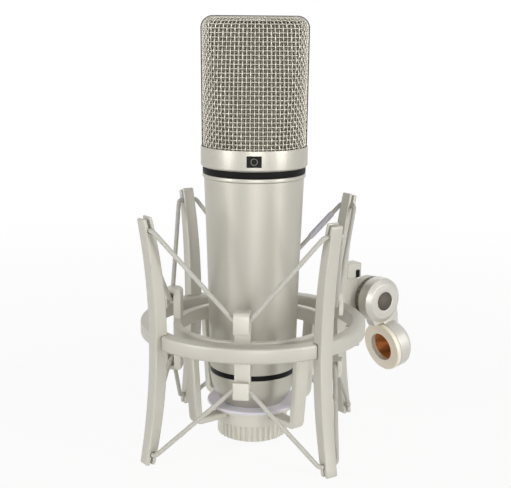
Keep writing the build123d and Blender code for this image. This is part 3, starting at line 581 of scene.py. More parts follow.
def elasticPoints(cord):
    # Round the arms' tips and through the hooks, with extra points close to each turn.
    corners = []
    order = (("Back", "BackLeft"), ("Left", "FrontLeft"), ("Front", "FrontRight"),
             ("Right", "BackRight"))
    for hook, arm in order:
        corners.append(("hook", placeAt(suspension["cradleTurn"] + hookTurns[hook],
                                        hookCordRadius, 0, cord["hookHeight"])))
        for lead in (cord["lead"], -cord["lead"]):
            corners.append(("tip", placeAt(suspension["turn"] + armTurns[arm], slotRadius, lead,
                                           cord["tipHeight"])))
    points = []
    count = len(corners)
    lastSpan = corners[0][1] - corners[-1][1]
    splice = corners[-1][1] + lastSpan.normalized() * cord["splice"] * mm
    points.append(splice)
    for i, (kind, here) in enumerate(corners):
        before, after = corners[i - 1][1], corners[(i + 1) % count][1]
        reach = cord["hookTurn"] if kind == "hook" else cord["tipTurn"]
        points.append(here + (before - here).normalized() * reach * mm)
        points.append(here)
        points.append(here + (after - here).normalized() * reach * mm)
    points.append(splice)
    return points


cordSection = {"radius": 1.2, "sides": 14, "step": 1.0, "order": 3, "smooth": 12}


def elasticCurve(name, points):
    line = bpy.data.curves.new(name, "CURVE")
    line.dimensions = "3D"
    spline = line.splines.new("NURBS")
    spline.points.add(len(points) - 1)
    for target, point in zip(spline.points, points):
        target.co = (*point, 1.0)
    spline.order_u = cordSection["order"]
    spline.use_endpoint_u = True
    spline.resolution_u = cordSection["smooth"]
    return line


elasticCords = {
    "upperElastic": {"node": "upper_elastic", "sleeveNode": "upper_splice_sleeve",
                     "tipHeight": upperSlot, "hookHeight": 73.5, "lead": 5.7,
                     "hookTurn": 12.6, "tipTurn": 3.7, "splice": 17.0},
    "lowerElastic": {"node": "lower_elastic", "sleeveNode": "lower_splice_sleeve",
                     "tipHeight": lowerSlot, "hookHeight": 45.7, "lead": 5.7,
                     "hookTurn": 11.4, "tipTurn": 3.7, "splice": 17.0},
}
sleeveShape = {"length": 20.0, "radius": 1.72, "neck": 1.3, "taper": 1.6, "neckRound": 0.2,
               "shoulderRound": 1.0, "segments": 24}


def hangPiece(name, mesh, node):
    # It hangs between the frame at the arms' tips and the cradle at its hooks, and is left on
    # neither body.
    piece = showObject(name, mesh)
    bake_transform(piece)
    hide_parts(node)


for cordName, cord in elasticCords.items():
    points = elasticPoints(cord)
    mesh = throughTree(cordName, elasticCurve(cordName, points), elasticTree, {
        "Cord Radius": cordSection["radius"] * mm, "Sides": cordSection["sides"],
        "Step": cordSection["step"] * mm})
    mesh.shade_smooth()
    hangPiece(cordName, mesh, cord["node"])

    half = sleeveShape["length"] / 2
    shoulder = half - sleeveShape["taper"]
    sleeve = turnedMesh(cordName + "Sleeve", softCorners([
        (0, -half), (sleeveShape["neck"], -half, sleeveShape["neckRound"]),
        (sleeveShape["radius"], -shoulder, sleeveShape["shoulderRound"]),
        (sleeveShape["radius"], shoulder, sleeveShape["shoulderRound"]),
        (sleeveShape["neck"], half, sleeveShape["neckRound"]), (0, half)]),
        sleeveShape["segments"])
    way = (points[2] - points[-3]).normalized()
    sleeve.transform(Matrix.Translation(points[0])
                     @ way.to_track_quat("Z", "Y").to_matrix().to_4x4())
    sleeve.materials.append(shrinkSleeve)
    sleeve.shade_smooth()
    hangPiece(cordName + "Sleeve", sleeve, cord["sleeveNode"])
print("elastics made")


facetGap = 0.02      # a round mesh stays this far inside the solid, and so inside its facets


def ringPiece(name, node, shape, finish):
    radius, low, high = extent(node)
    radius -= facetGap
    inner, corner = radius - shape["wall"], shape["corner"]
    turnedPiece(name, [(inner, low, corner), (radius, low, corner), (radius, high, corner),
                       (inner, high, corner)], finish, node, shape["segments"])


outerRing = {"wall": 7.4, "corner": 1.3, "segments": 256}
ringPiece("outerRing", "outer_ring", outerRing, frameFinish)


def slotSeat(height, way):
    # Round the cord's seat from one side of the slot's narrow mouth to the other.
    half, mouth = suspension["slotHalf"], suspension["mouthHalf"]
    gap = math.asin(mouth / half)
    first = way * math.pi / 2 - gap
    steps = suspension["slotSteps"]
    turns = [first - (2 * math.pi - 2 * gap) * k / steps for k in range(steps + 1)]
    return [(slotRadius + half * math.cos(t), height + half * math.sin(t)) for t in turns]


def armOutline(shape):
    # Up the outside, round the upper fork, down the inside and round the lower fork.
    mouth, tip, lip = suspension["mouthHalf"], shape["tipRound"], shape["slotRound"]
    innerTop = armTop + suspension["bladeRise"]
    ends, steps = shape["plainEnds"], shape["steps"]
    levels = [ends + (armTop - 2 * ends) * k / steps for k in range(steps + 1)]
    points = [(armEdge(0, -1), 0, tip), (armCentre(0) - mouth, 0, lip)]
    points += slotSeat(lowerSlot, -1)
    points += [(armCentre(0) + mouth, 0, lip), (armEdge(0, 1), 0, tip)]
    points += [(armEdge(z, 1), z) for z in levels]
    points += [(armEdge(armTop, 1), armTop, tip), (armCentre(armTop) + mouth, armTop, lip)]
    points += slotSeat(upperSlot, 1)
    points += [(armCentre(armTop) - mouth, innerTop, lip),
               (armEdge(innerTop, -1), innerTop, tip)]
    points += [(armEdge(z, -1), z) for z in reversed(levels)]
    return softCorners(points)


def armHalfWidth(height):
    half = suspension["midHeight"]
    bow = (suspension["armWidth"] - suspension["tipWidth"]) / 2
    radius = (half**2 + bow**2) / (2 * bow)
    return suspension["armWidth"] / 2 - radius + math.sqrt(radius**2 - (height - half) ** 2)


armShape = {"tipRound": 1.0, "slotRound": 0.65, "edge": 0.55, "plainEnds": 4, "steps": 28}
for armName, turn in armTurns.items():
    mesh = barMesh("arm" + armName, armOutline(armShape), suspension["turn"] + turn,
                   armHalfWidth, armShape["edge"])
    keepPiece("arm" + armName, mesh, *frameFinish, ["arm_" + armPlaces[armName]])
print("outer frame made")

cradleRing = {"wall": 4.0, "corner": 0.9, "segments": 224}
ringPiece("cradleRing", "cradle_ring", cradleRing, cradleFinish)


def hookOutline():
    # A strap through the ring, an arch over the upper cord and a trough under the lower one.
    inner, strap, sheet = hooks["inner"], hooks["strap"], hooks["sheet"]
    lip = strap + hooks["mouth"] + sheet
    arch = hooks["top"] - sheet - hooks["mouth"] / 2
    floor, troughTop = hooks["bottom"], hooks["bottom"] + hooks["lipRise"]
    lipEnd = hooks["top"] - hooks["lipDrop"]
    ringLow, ringHigh = (z + way * hooks["seatEnd"]
                         for z, way in zip(extent("cradle_ring")[1:], (1, -1)))
    foot, bend, sink = hooks["footRound"], hooks["lipRound"], hooks["seatSink"]
    points = [(inner, floor, foot), (lip, floor, foot), (lip, troughTop, bend),
              (lip - sheet, troughTop, bend), (lip - sheet, floor + sheet, bend),
              (strap, floor + sheet, bend), (strap, ringLow), (strap - sink, ringLow),
              (strap - sink, ringHigh), (strap, ringHigh)]
    points += arcThrough((strap, arch), (hookCordRadius, arch + hooks["mouth"] / 2),
                         (lip - sheet, arch), hooks["archSteps"])
    points += [(lip - sheet, arch), (lip - sheet, lipEnd, bend), (lip, lipEnd, bend),
               (lip, hooks["top"], hooks["topRound"]), (inner, hooks["top"], hooks["topRound"]),
               (inner, ringHigh), (inner + sink, ringHigh), (inner + sink, ringLow),
               (inner, ringLow)]
    return softCorners(points)


for hookName, turn in hookTurns.items():
    mesh = barMesh("hook" + hookName, hookOutline(), suspension["cradleTurn"] + turn,
                   hooks["width"] / 2, hooks["edge"])
    keepPiece("hook" + hookName, mesh, *cradleFinish, ["hook_" + hookName.lower()])

legs = {"radius": 42.9, "lean": 3.3, "depth": 4.0, "footRadius": 19.6, "low": 16.0,
        "footTop": 19.5, "heel": 4.0, "knee": 1.2, "topWidth": 8.5, "footWidth": 6.8,
        "edge": 0.8, "intoRing": 1.0}


def legHalfWidth(height):
    share = (height - legs["low"]) / (extent("cradle_ring")[1] - legs["low"])
    share = min(max(share, 0), 1)
    return (legs["footWidth"] + (legs["topWidth"] - legs["footWidth"]) * share) / 2


def legOutline():
    top = extent("cradle_ring")[1]
    outer, foot = legs["radius"], legs["radius"] - legs["lean"]
    return softCorners([
        (outer - legs["depth"], top + legs["intoRing"]), (outer - legs["depth"], top),
        (foot - legs["depth"], legs["footTop"], legs["knee"]),
        (legs["footRadius"], legs["footTop"]), (legs["footRadius"], legs["low"]),
        (foot, legs["low"], legs["heel"]), (outer, top), (outer, top + legs["intoRing"])])


for armName, turn in armTurns.items():
    mesh = barMesh("leg" + armName, legOutline(), suspension["cradleTurn"] + turn, legHalfWidth,
                   legs["edge"])
    keepPiece("leg" + armName, mesh, *cradleFinish, ["leg_" + armPlaces[armName]])

stemHole = 15.3
discs = {      # piece: node, finish, rounding of the lower and the upper edge
    "cradleHub": ("cradle_hub", cradleFinish, 0.4, 0.4),
    "cushionWasher": ("cushion_washer", ("cradle", "cushion", paleSilicone), 0.6, 0.7),
}
for discName, (node, finish, lowRound, highRound) in discs.items():
    radius, low, high = extent(node)
    turnedPiece(discName, [(stemHole, low), (radius, low, lowRound), (radius, high, highRound),
                           (stemHole, high)], finish, node)
print("cradle made")


def ribTree(material):
    # Joins a ring of upright half-round ribs to the piece that is given.
    tree, given = newTree("ribRing", {
        "Count": 38, "Ring Radius": 0.018, "Rib Radius": 0.0012, "Rib Height": 0.008, "Low": 0.0})
    ring = addNode(tree, "GeometryNodeMeshCircle", {
        "Vertices": given.outputs["Count"], "Radius": given.outputs["Ring Radius"]})
    rib = addNode(tree, "GeometryNodeMeshCylinder", {
        "Vertices": 12, "Radius": given.outputs["Rib Radius"],
        "Depth": given.outputs["Rib Height"]})
    half = addNode(tree, "ShaderNodeMath", {
        0: given.outputs["Rib Height"], 1: 0.5}, operation="MULTIPLY")
    lift = addNode(tree, "ShaderNodeMath", {0: half, 1: given.outputs["Low"]}, operation="ADD")
    offset = addNode(tree, "ShaderNodeCombineXYZ", {"Z": lift})
    raised = addNode(tree, "GeometryNodeTransform", {"Geometry": rib, "Translation": offset})
    ribs = addNode(tree, "GeometryNodeInstanceOnPoints", {"Points": ring, "Instance": raised})
    joined = addNode(tree, "GeometryNodeJoinGeometry")
    tree.links.new(ribs.outputs["Instances"], joined.inputs["Geometry"])
    tree.links.new(given.outputs["Geometry"], joined.inputs["Geometry"])
    closeTree(tree, joined, material)
    return tree


clampNut = {"bore": 14.95, "ribs": 38, "ribRadius": 1.2, "ribSink": 0.95, "ribHeight": 9.0,
            "ribGap": 1.2, "edge": 2.0, "boreRound": 0.4, "step": 0.5, "stepRound": 0.3,
            "topRound": 0.5}
nutRadius, nutLow, nutHigh = extent("clamp_nut")
ribTop, coreRadius = nutLow + clampNut["ribHeight"], nutRadius - clampNut["ribSink"]
nutCore = turnedMesh("clampNutCore", softCorners([
    (clampNut["bore"], nutLow, clampNut["boreRound"]), (coreRadius, nutLow, clampNut["edge"]),
    (coreRadius, ribTop - clampNut["step"]), (nutRadius, ribTop, clampNut["stepRound"]),
    (nutRadius, nutHigh, clampNut["topRound"]), (clampNut["bore"], nutHigh)]))
keepPiece("clampNut", throughTree("clampNut", nutCore, ribTree(lighterPaintedLacquer), {
    "Count": clampNut["ribs"], "Ring Radius": (nutRadius - clampNut["ribRadius"]) * mm,
    "Rib Radius": clampNut["ribRadius"] * mm,
    "Rib Height": (clampNut["ribHeight"] - clampNut["ribGap"]) * mm,
    "Low": (nutLow + clampNut["ribGap"]) * mm}), "nut", *cradleFinish[1:], ["clamp_nut"])
print("nut made")


bellRadius, stemLow, bellTop = extent("end_bell")
seat = extent("cushion_washer")[2]
bell = {"foot": 17.3, "middle": (21.76, 8.35), "stem": 14.9, "bore": 9.7, "boreDepth": 14.0,
        "boreRound": 0.4, "stemRound": 0.5, "footRound": 0.3, "rimRound": 0.25, "steps": 14}
bellOutline = [(0, stemLow + bell["boreDepth"]), (bell["bore"], stemLow + bell["boreDepth"]),
               (bell["bore"], stemLow, bell["boreRound"]),
               (bell["stem"], stemLow, bell["stemRound"]), (bell["stem"], seat),
               (bell["foot"], seat, bell["footRound"])]
bellOutline += arcThrough((bell["foot"], seat), (bell["middle"][0], seat + bell["middle"][1]),
                          (bellRadius, bellTop), bell["steps"])[1:]
bellOutline += [(bellRadius, bellTop, bell["rimRound"]), (0, bellTop)]
turnedPiece("endBell", bellOutline, bodyFinish, "end_bell")

labelBand = {"wall": 1.6, "sink": 0.12, "edge": 0.1}
radius, low, high = extent("label_ring")
inner, outer = radius - labelBand["wall"], radius - labelBand["sink"]
turnedPiece("labelRing", [(inner, low), (outer, low, labelBand["edge"]),
                          (outer, high, labelBand["edge"]), (inner, high)],
            ("microphone", "black_band", blackEnamel), "label_ring")

bodyTube = {"lowRadius": 23.15, "middle": (24.44, 51.35), "highRadius": 26.3, "lip": 2.0,
            "wall": 1.6, "footRound": 0.25, "lipSlope": (0.4, 0.2), "lipRound": 0.4,
            "topRound": 0.5, "steps": 24}
bodySegments = 256
lipRadius, tubeLow, tubeHigh = extent("body_tube")
lipLow = tubeHigh - bodyTube["lip"]
tubeOutline = [(bodyTube["lowRadius"] - bodyTube["wall"], tubeLow),
               (bodyTube["lowRadius"], tubeLow, bodyTube["footRound"])]
tubeOutline += arcThrough((bodyTube["lowRadius"], tubeLow),
                          (bodyTube["middle"][0], tubeLow + bodyTube["middle"][1]),
                          (bodyTube["highRadius"], lipLow), bodyTube["steps"])[1:]
tubeOutline += [(bodyTube["highRadius"], lipLow - bodyTube["lipSlope"][0]),
                (lipRadius, lipLow + bodyTube["lipSlope"][1], bodyTube["lipRound"]),
                (lipRadius, tubeHigh, bodyTube["topRound"]),
                (bodyTube["highRadius"] - bodyTube["wall"], tubeHigh)]
turnedPiece("bodyTube", tubeOutline, bodyFinish, "body_tube", bodySegments)

sealRing = {"wall": 2.3, "taper": (0.3, 0.8), "endRound": 0.3, "sideRound": 0.5}
radius, low, high = extent("collar_seal_ring")
inner, narrow = radius - sealRing["wall"], radius - sealRing["taper"][0]
rise, end, side = sealRing["taper"][1], sealRing["endRound"], sealRing["sideRound"]
turnedPiece("collarSealRing", [
    (inner, low), (narrow, low, end), (radius, low + rise, side), (radius, high - rise, side),
    (narrow, high, end), (inner, high)],
    ("microphone", "black_band", blackGasketAndSlotShade), "collar_seal_ring", bodySegments)

headCollar = {"wall": 3.0, "chamfer": 0.8, "seatRadius": 27.45, "seatDepth": 3.0,
              "lowRound": 0.2, "sideRound": 0.5, "topRound": 0.25}
radius, low, high = extent("head_collar")
inner, seat = radius - headCollar["wall"], headCollar["seatRadius"]
shelf = high - headCollar["seatDepth"]
turnedPiece("headCollar", [
    (inner, low), (radius - headCollar["chamfer"], low, headCollar["lowRound"]),
    (radius, low + headCollar["chamfer"], headCollar["sideRound"]),
    (radius, high, headCollar["topRound"]), (seat, high), (seat, shelf), (inner, shelf)],
    bodyFinish, "head_collar", bodySegments)

# The plate is bare enamel with a plain thin circle in it.
plateShape = {
    "corner": 0.35, "circle": 1.75, "line": 0.28, "rise": 0.08, "sunk": 0.1, "lineRound": 0.04,
    "segments": 48,
    "layers": ((0.0, 0.0), (0.55, 0.0), (0.65, 0.12)),      # depth from its back, and inset
}
plateLow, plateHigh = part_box("pattern_plate")
plateMiddle = (plateLow + plateHigh) / 2


def plateMesh(shape):
    halfWide, halfTall = (plateHigh.x - plateLow.x) / 2 / mm, (plateHigh.z - plateLow.z) / 2 / mm
    outline = softCorners([(x * halfWide, y * halfTall, shape["corner"])
                           for x, y in squareCorners])
    form = bmesh.new()
    layers = [[form.verts.new((
        plateMiddle.x + p.x * (1 - inset / halfWide) * mm, plateHigh.y - depth * mm,
        plateMiddle.z + p.y * (1 - inset / halfTall) * mm)) for p in outline]
        for depth, inset in shape["layers"]]
    joinRows(form, layers)
    form.faces.new(layers[0])
    form.faces.new(layers[-1])
    return closedMesh("patternPlate", form)


def circleMesh(shape):
    outer, inner = shape["circle"], shape["circle"] - shape["line"]
    mesh = turnedMesh("patternCircle", softCorners([
        (inner, -shape["sunk"]), (outer, -shape["sunk"]),
        (outer, shape["rise"], shape["lineRound"]),
        (inner, shape["rise"], shape["lineRound"])]), shape["segments"])
    face = (plateMiddle.x, plateLow.y + shape["sunk"] * mm, plateMiddle.z)
    mesh.transform(Matrix.Translation(face) @ Matrix.Rotation(math.radians(90), 4, "X"))
    return mesh


keepPiece("patternPlate", plateMesh(plateShape), "microphone", "badge_black", blackEnamel,
          ["pattern_plate"])
keepPiece("patternCircle", circleMesh(plateShape), "microphone", "satin_nickel_body", zincPlate,
          sharp=180)
print("microphone body made")


headForm = {
    "low": 158.0, "slopeLow": 161.0, "top": 227.3, "lowRadius": 27.4, "topRadius": 28.0,
    "topHalfDepth": 15.0, "crownRound": 6.3, "crease": 2.5,
    "creaseGrows": 4,      # it is whole a quarter of the way up the slopes
    "flatShare": 0.985, "edgeGap": 0.8,      # where the front and back count as flat
}


def headRow(height, inset, crown, columns, samples=720):
    # One level of the head: a circle cut by its front and back, at evenly spaced places.
    rise = (height - headForm["low"]) / (headForm["top"] - headForm["low"])
    slope = max(0, (height - headForm["slopeLow"]) / (headForm["top"] - headForm["slopeLow"]))
    wide = headForm["lowRadius"] + (headForm["topRadius"] - headForm["lowRadius"]) * rise
    deep = headForm["lowRadius"] + (headForm["topHalfDepth"] - headForm["lowRadius"]) * slope
    wide, deep = wide - inset - crown, deep - inset - crown
    crease = headForm["crease"] * min(1, slope * headForm["creaseGrows"])
    outline = []
    for k in range(samples + 1):
        turn = 2 * math.pi * k / samples
        cut = deep / max(abs(math.sin(turn)), 1e-6)
        near = max(crease - abs(wide - cut), 0) / crease if crease else 0
        radius = min(wide, cut) - near * near * crease / 4
        outline.append(Vector((radius * math.cos(turn), radius * math.sin(turn), height)))
    reach = [0.0]
    for a, b in zip(outline, outline[1:]):
        reach.append(reach[-1] + (b - a).length)
    row, k = [], 0
    for column in range(columns):
        want = reach[-1] * column / columns
        while reach[k + 1] < want:
            k += 1
        share = (want - reach[k]) / (reach[k + 1] - reach[k])
        row.append(outline[k].lerp(outline[k + 1], share))
    return row


def headRows(inset, pitch, start):
    # Levels up the side and round the crown's edge, one wire spacing apart.
    crown = headForm["crownRound"] - inset
    shoulder = headForm["top"] - inset - crown
    rows = []
    count = round((shoulder - start) / pitch)
    for k in range(count):
        rows.append((start + (shoulder - start) * k / count, 0.0))
    arcSteps = max(2, round(crown * math.pi / 2 / pitch))
    for k in range(arcSteps + 1):
        turn = math.pi / 2 * k / arcSteps
        rows.append((shoulder + crown * math.sin(turn), crown * (1 - math.cos(turn))))
    return rows


def weaveTree(material):
    # Follows each wire's line and lifts it over and under the wires that it crosses.
    tree, given = newTree("wovenWire", {
        "Wire Radius": 0.0004, "Crimp": 0.0003, "Sides": 5, "Steps": 3})
    lift = addNode(tree, "GeometryNodeInputNamedAttribute", {
        "Name": "lift"}, data_type="FLOAT_VECTOR")
    push = addNode(tree, "ShaderNodeVectorMath", {
        0: lift, "Scale": given.outputs["Crimp"]}, operation="SCALE")
    moved = addNode(tree, "GeometryNodeSetPosition", {"Geometry": given, "Offset": push})
    lines = addNode(tree, "GeometryNodeMeshToCurve", {"Mesh": moved})
    curved = addNode(tree, "GeometryNodeCurveSplineType", {
        "Curve": lines}, spline_type="CATMULL_ROM")
    fine = addNode(tree, "GeometryNodeSetSplineResolution", {
        "Geometry": curved, "Resolution": given.outputs["Steps"]})
    ring = addNode(tree, "GeometryNodeCurvePrimitiveCircle", {
        "Resolution": given.outputs["Sides"], "Radius": given.outputs["Wire Radius"]})
    wires = addNode(tree, "GeometryNodeCurveToMesh", {
        "Curve": fine, "Profile Curve": ring, "Fill Caps": True})
    closeTree(tree, wires, material)
    return tree


def gridNormals(grid):
    # Outward direction at each crossing, from its neighbours up and along.
    normals = []
    for j, row in enumerate(grid):
        below, above = grid[max(j - 1, 0)], grid[min(j + 1, len(grid) - 1)]
        normals.append([(row[(i + 1) % len(row)] - row[i - 1]).cross(above[i] - below[i])
                        .normalized() for i in range(len(row))])
    return normals


def headWires(weave):
    # Hoops at each level, and uprights that run on over the crown to the other side.
    inset = weave["wire"] / 2 + weave["crimp"] + weave["sink"]
    columns = weave["columns"]
    rows = headRows(inset, weave["pitch"], weave["start"])
    grid = [headRow(height, inset, crown, columns) for height, crown in rows]
    normals = gridNormals(grid)
    top = len(grid) - 1
    chains = []
    for j in range(top + 1):
        chains.append((True, [(grid[j][i], normals[j][i], 1 if (i + j) % 2 else -1)
                              for i in range(columns)]))
    rim = grid[top]
    deepest = max(p.y for p in rim)
    flat = [i for i in range(columns) if abs(rim[i].y) > headForm["flatShare"] * deepest]
    acrossPlaces = sorted({round(rim[i].x, 4) for i in flat})
    sidePlaces = sorted({round(rim[i].y, 4) for i in range(columns) if i not in flat})
    up = Vector((0, 0, 1))
    for i in range(columns):
        mirrored = -i % columns if i in flat else (columns // 2 - i) % columns
        here = rim[i]
        if mirrored == i or (i in flat and here.y < 0) or (i not in flat and here.x < 0):
            continue
        chain = [(grid[j][i], normals[j][i], -1 if (i + j) % 2 else 1) for j in range(top + 1)]
        if i in flat:
            between = [Vector((here.x, y, here.z)) for y in reversed(sidePlaces)
                       if abs(y) < abs(here.y) - headForm["edgeGap"]]
        else:
            between = [Vector((x, here.y, here.z)) for x in reversed(acrossPlaces)
                       if abs(x) < abs(here.x) - headForm["edgeGap"]]
        sign = chain[-1][2]
        for place in between:
            sign = -sign
            chain.append((place, up, sign))
        chain += [(grid[j][mirrored], normals[j][mirrored], -1 if (mirrored + j) % 2 else 1)
                  for j in range(top, -1, -1)]
        chains.append((False, chain))
    return chains


def wireMesh(name, chains):
    mesh = bpy.data.meshes.new(name)
    places, edges, lifts = [], [], []
    for closed, chain in chains:
        first = len(places)
        for place, normal, sign in chain:
            places.append(place * mm)
            lifts += list(normal * sign)
        edges += [(first + k, first + k + 1) for k in range(len(chain) - 1)]
        if closed:
            edges.append((first + len(chain) - 1, first))
    mesh.from_pydata(places, edges, [])
    attribute = mesh.attributes.new("lift", "FLOAT_VECTOR", "POINT")
    attribute.data.foreach_set("vector", lifts)
    return mesh


outerWeave = {"wire": 0.74, "crimp": 0.34, "sink": 0.35, "pitch": 2.22, "columns": 76,
              "start": 159.4, "sides": 5, "steps": 3}
headLines = wireMesh("headLines", headWires(outerWeave))
wovenHead = throughTree("outerMeshHead", headLines, weaveTree(drawnWire), {
    "Wire Radius": outerWeave["wire"] / 2 * mm, "Crimp": outerWeave["crimp"] * mm,
    "Sides": outerWeave["sides"], "Steps": outerWeave["steps"]})
keepPiece("outerMeshHead", wovenHead, "microphone", "mesh_wire", drawnWire,
          ["outer_mesh_head"], sharp=80)
print("woven head made,", len(wovenHead.polygons), "faces")

# A dark strip runs up one side of the head, over the crown and down the other, along its outline
# as seen from the front.
headSeam = {"width": 1.3, "depth": 0.5, "footDrop": 1, "steps": 10}


def darkStripOutline(inset):
    top = headForm["top"] - inset
    crown = headForm["crownRound"] - inset
    points = []
    for side in (1, -1):
        wide = headForm["topRadius"] - inset
        turns = [math.pi / 2 * k / headSeam["steps"] for k in range(headSeam["steps"] + 1)]
        arc = [(side * (wide - crown + crown * math.cos(t)), top - crown + crown * math.sin(t))
               for t in turns]
        foot = (side * (headForm["lowRadius"] - inset),
                headForm["slopeLow"] - headSeam["footDrop"])
        points += [foot, *arc] if side > 0 else [*reversed(arc), foot]
    return points


def darkStripMesh():
    form = bmesh.new()
    rows = []
    for inset, side in ((0.0, -1), (0.0, 1), (headSeam["depth"], 1), (headSeam["depth"], -1)):
        rows.append([form.verts.new((x * mm, side * headSeam["width"] / 2 * mm, z * mm))
                     for x, z in darkStripOutline(inset)])
    joinRows(form, [*rows, rows[0]], closed=False)
    form.faces.new([row[0] for row in rows])
    form.faces.new([row[-1] for row in rows])
    return closedMesh("headSeam", form)


keepPiece("headSeam", darkStripMesh(), "microphone", "mesh_wire", darkStripAndGapShadeSteel)

# Painted shade: a dark plate on each side of an arm, where the ring enters it, for the shadow in
# that gap.
ringSeams = {"away": 0.3, "half": 0.22, "proud": 0.05, "behind": 0.3, "edge": 0.05}


def ringGapShadeMesh(gapShades):
    radius, low, high = extent("outer_ring")
    radius -= facetGap
    bottom, top, corner = low - gapShades["proud"], high + gapShades["proud"], outerRing["corner"]
    inner = armEdge((low + high) / 2, -1) - gapShades["behind"]
    section = softCorners([(inner, bottom), (radius, bottom, corner),
                           (radius, top, corner), (inner, top)])
    step = math.degrees((armHalfWidth((low + high) / 2) + gapShades["away"]) / radius)
    form = bmesh.new()
    for turn in armTurns.values():
        for side in (-1, 1):
            plate = barMesh("seam", section, suspension["turn"] + turn + side * step,
                            gapShades["half"], gapShades["edge"], 1)
            form.from_mesh(plate)
            bpy.data.meshes.remove(plate)
    return closedMesh("ringSeams", form)


keepPiece("ringSeams", ringGapShadeMesh(ringSeams), "frame", "dark_steel", darkStripAndGapShadeSteel)

innerGauze = {"inset": 2.3, "thickness": 0.6, "rowPitch": 2.0, "columns": 120, "start": 158.2,
              "flatShare": 0.8}


def gauzeMesh(gauze):
    rows = headRows(gauze["inset"], gauze["rowPitch"], gauze["start"])
    grid = [headRow(height, gauze["inset"], crown, gauze["columns"]) for height, crown in rows]
    form = bmesh.new()
    layer = form.verts.layers.float_vector.new("netPlace")
    columns = gauze["columns"]
    verts = []
    for row in grid:
        line = []
        for p in row:
            vert = form.verts.new(p * mm)
            flat = abs(p.y) > gauze["flatShare"] * max(q.y for q in row)
            vert[layer] = ((p.x if flat else p.y) * mm, p.z * mm, 0)
            line.append(vert)
        verts.append(line)
    joinRows(form, verts)
    half = columns // 2
    top = verts[-1]
    for i in range(half):      # the crown, in strips from front to back
        a, b = top[i], top[i + 1]
        c, d = top[(columns - i - 1) % columns], top[(columns - i) % columns]
        corners = list(dict.fromkeys((a, b, c, d)))
        if len(corners) > 2:
            form.faces.new(corners)
    return closedMesh("innerMeshHead", form)


innerHead = keepPiece("innerMeshHead", gauzeMesh(innerGauze), "microphone", "fine_mesh",
                      gauzeMaterial, ["inner_mesh_head"], sharp=80)
wall = innerHead.modifiers.new("wall", "SOLIDIFY")
wall.thickness = innerGauze["thickness"] * mm
wall.offset = -1
print("gauze made")


castSkin = {"voxel": 0.3, "rounds": 3, "factor": 0.5}


def castCopy(name, node, finish, extra=None):
    # A casting: the solid remeshed finely and eased, so that its edges and fillets run soft.
    mesh = mergedCopy(node)
    if extra:
        form = bmesh.new()
        form.from_mesh(mesh)
        form.from_mesh(extra)
        form.to_mesh(mesh)
        form.free()
    holder = showObject(name, mesh)
    skin = holder.modifiers.new("skin", "REMESH")
    skin.mode = "VOXEL"
    skin.voxel_size = castSkin["voxel"] * mm
    ease = holder.modifiers.new("ease", "SMOOTH")
    ease.factor = castSkin["factor"]
    ease.iterations = castSkin["rounds"]
    keepPiece(name, bakedMesh(holder, name), *finish, [node], sharp=60)


bracketTurn = 126.0      # where the bracket and the lever stand round the frame
# The lever's round end has a broad flat face with a chamfer round it.
leverFace = {"pivot": (84.0, 67.0), "hole": 6.0, "flat": 10.0, "rim": 13.0, "low": 8.0,
             "chamferLow": 10.7, "face": 13.0, "segments": 96}


def leverFaceMesh(shape):
    mesh = turnedMesh("leverFace", [
        (shape["hole"], shape["low"]), (shape["rim"], shape["low"]),
        (shape["rim"], shape["chamferLow"]), (shape["flat"], shape["face"]),
        (shape["hole"], shape["face"])], shape["segments"])
    outwards, up, across = radialPlace(bracketTurn)
    radius, height = shape["pivot"]
    place = Matrix((outwards, up, across)).transposed().to_4x4()
    place.translation = (outwards * radius + up * height) * mm
    mesh.transform(place)
    return mesh


castCopy("swivelLever", "swivel_lever", ("swivel", "satin_nickel_frame", polishedLacquer),
         leverFaceMesh(leverFace))
castCopy("swivelBracket", "swivel_bracket", frameFinish)

# Painted shade: a black plate closes each of the bracket's two slots half way through, for the
# shade deep inside them.
slotShades = {"radius": 71.1, "heights": (83.25, 46.25), "size": (2.9, 4.4, 7.0), "edge": 0.1}
for slotShadeName, height in zip(("upperSlotShade", "lowerSlotShade"), slotShades["heights"]):
    wide, tall, deep = slotShades["size"]
    middle = Vector((slotShades["radius"], height))
    corners = [middle + Vector((x * wide / 2, y * tall / 2)) for x, y in squareCorners]
    slotShadePlate = barMesh(slotShadeName, corners, bracketTurn, deep / 2, slotShades["edge"])
    keepPiece(slotShadeName, slotShadePlate, "frame", "dark_steel", blackGasketAndSlotShade)

# The stand's thread: a real helix cut into the bush, 27 turns to the inch.
bushThread = {"tilt": 12.0, "outer": 9.6, "crest": 7.5, "depth": 0.55,
              "length": 9.0, "pitch": 0.94, "rowsPerTurn": 6, "segments": 96}


def bushMesh(thread):
    outwards, up, across = radialPlace(bracketTurn)
    tilt = math.radians(thread["tilt"])
    mouthWay = outwards * -math.cos(tilt) + up * -math.sin(tilt)
    side = mouthWay.cross(across)
    low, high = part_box("socket_thread_bush")
    centre = (Vector(low) + Vector(high)) / 2
    count = round(thread["length"] / thread["pitch"] * thread["rowsPerTurn"])
    form = bmesh.new()
    columns = []
    for k in range(thread["segments"]):
        turn = 2 * math.pi * k / thread["segments"]
        spoke = across * math.cos(turn) + side * math.sin(turn)
        column = []
        for i in range(count + 1):
            along = (i / count - 0.5) * thread["length"]
            phase = (along / thread["pitch"] + k / thread["segments"]) % 1
            groove = thread["depth"] * (1 - abs(2 * phase - 1)) if 0 < i < count else 0
            column.append((thread["crest"] + groove, along))
        half = thread["length"] / 2
        column += [(thread["outer"], half), (thread["outer"], -half)]
        columns.append([form.verts.new(centre + (spoke * r + mouthWay * along) * mm)
                        for r, along in column])
    joinRows(form, [*columns, columns[0]])
    return closedMesh("socketThreadBush", form)


keepPiece("socketThreadBush", bushMesh(bushThread), "swivel", "brass_thread", turnedBrass,
          ["socket_thread_bush"], sharp=25)

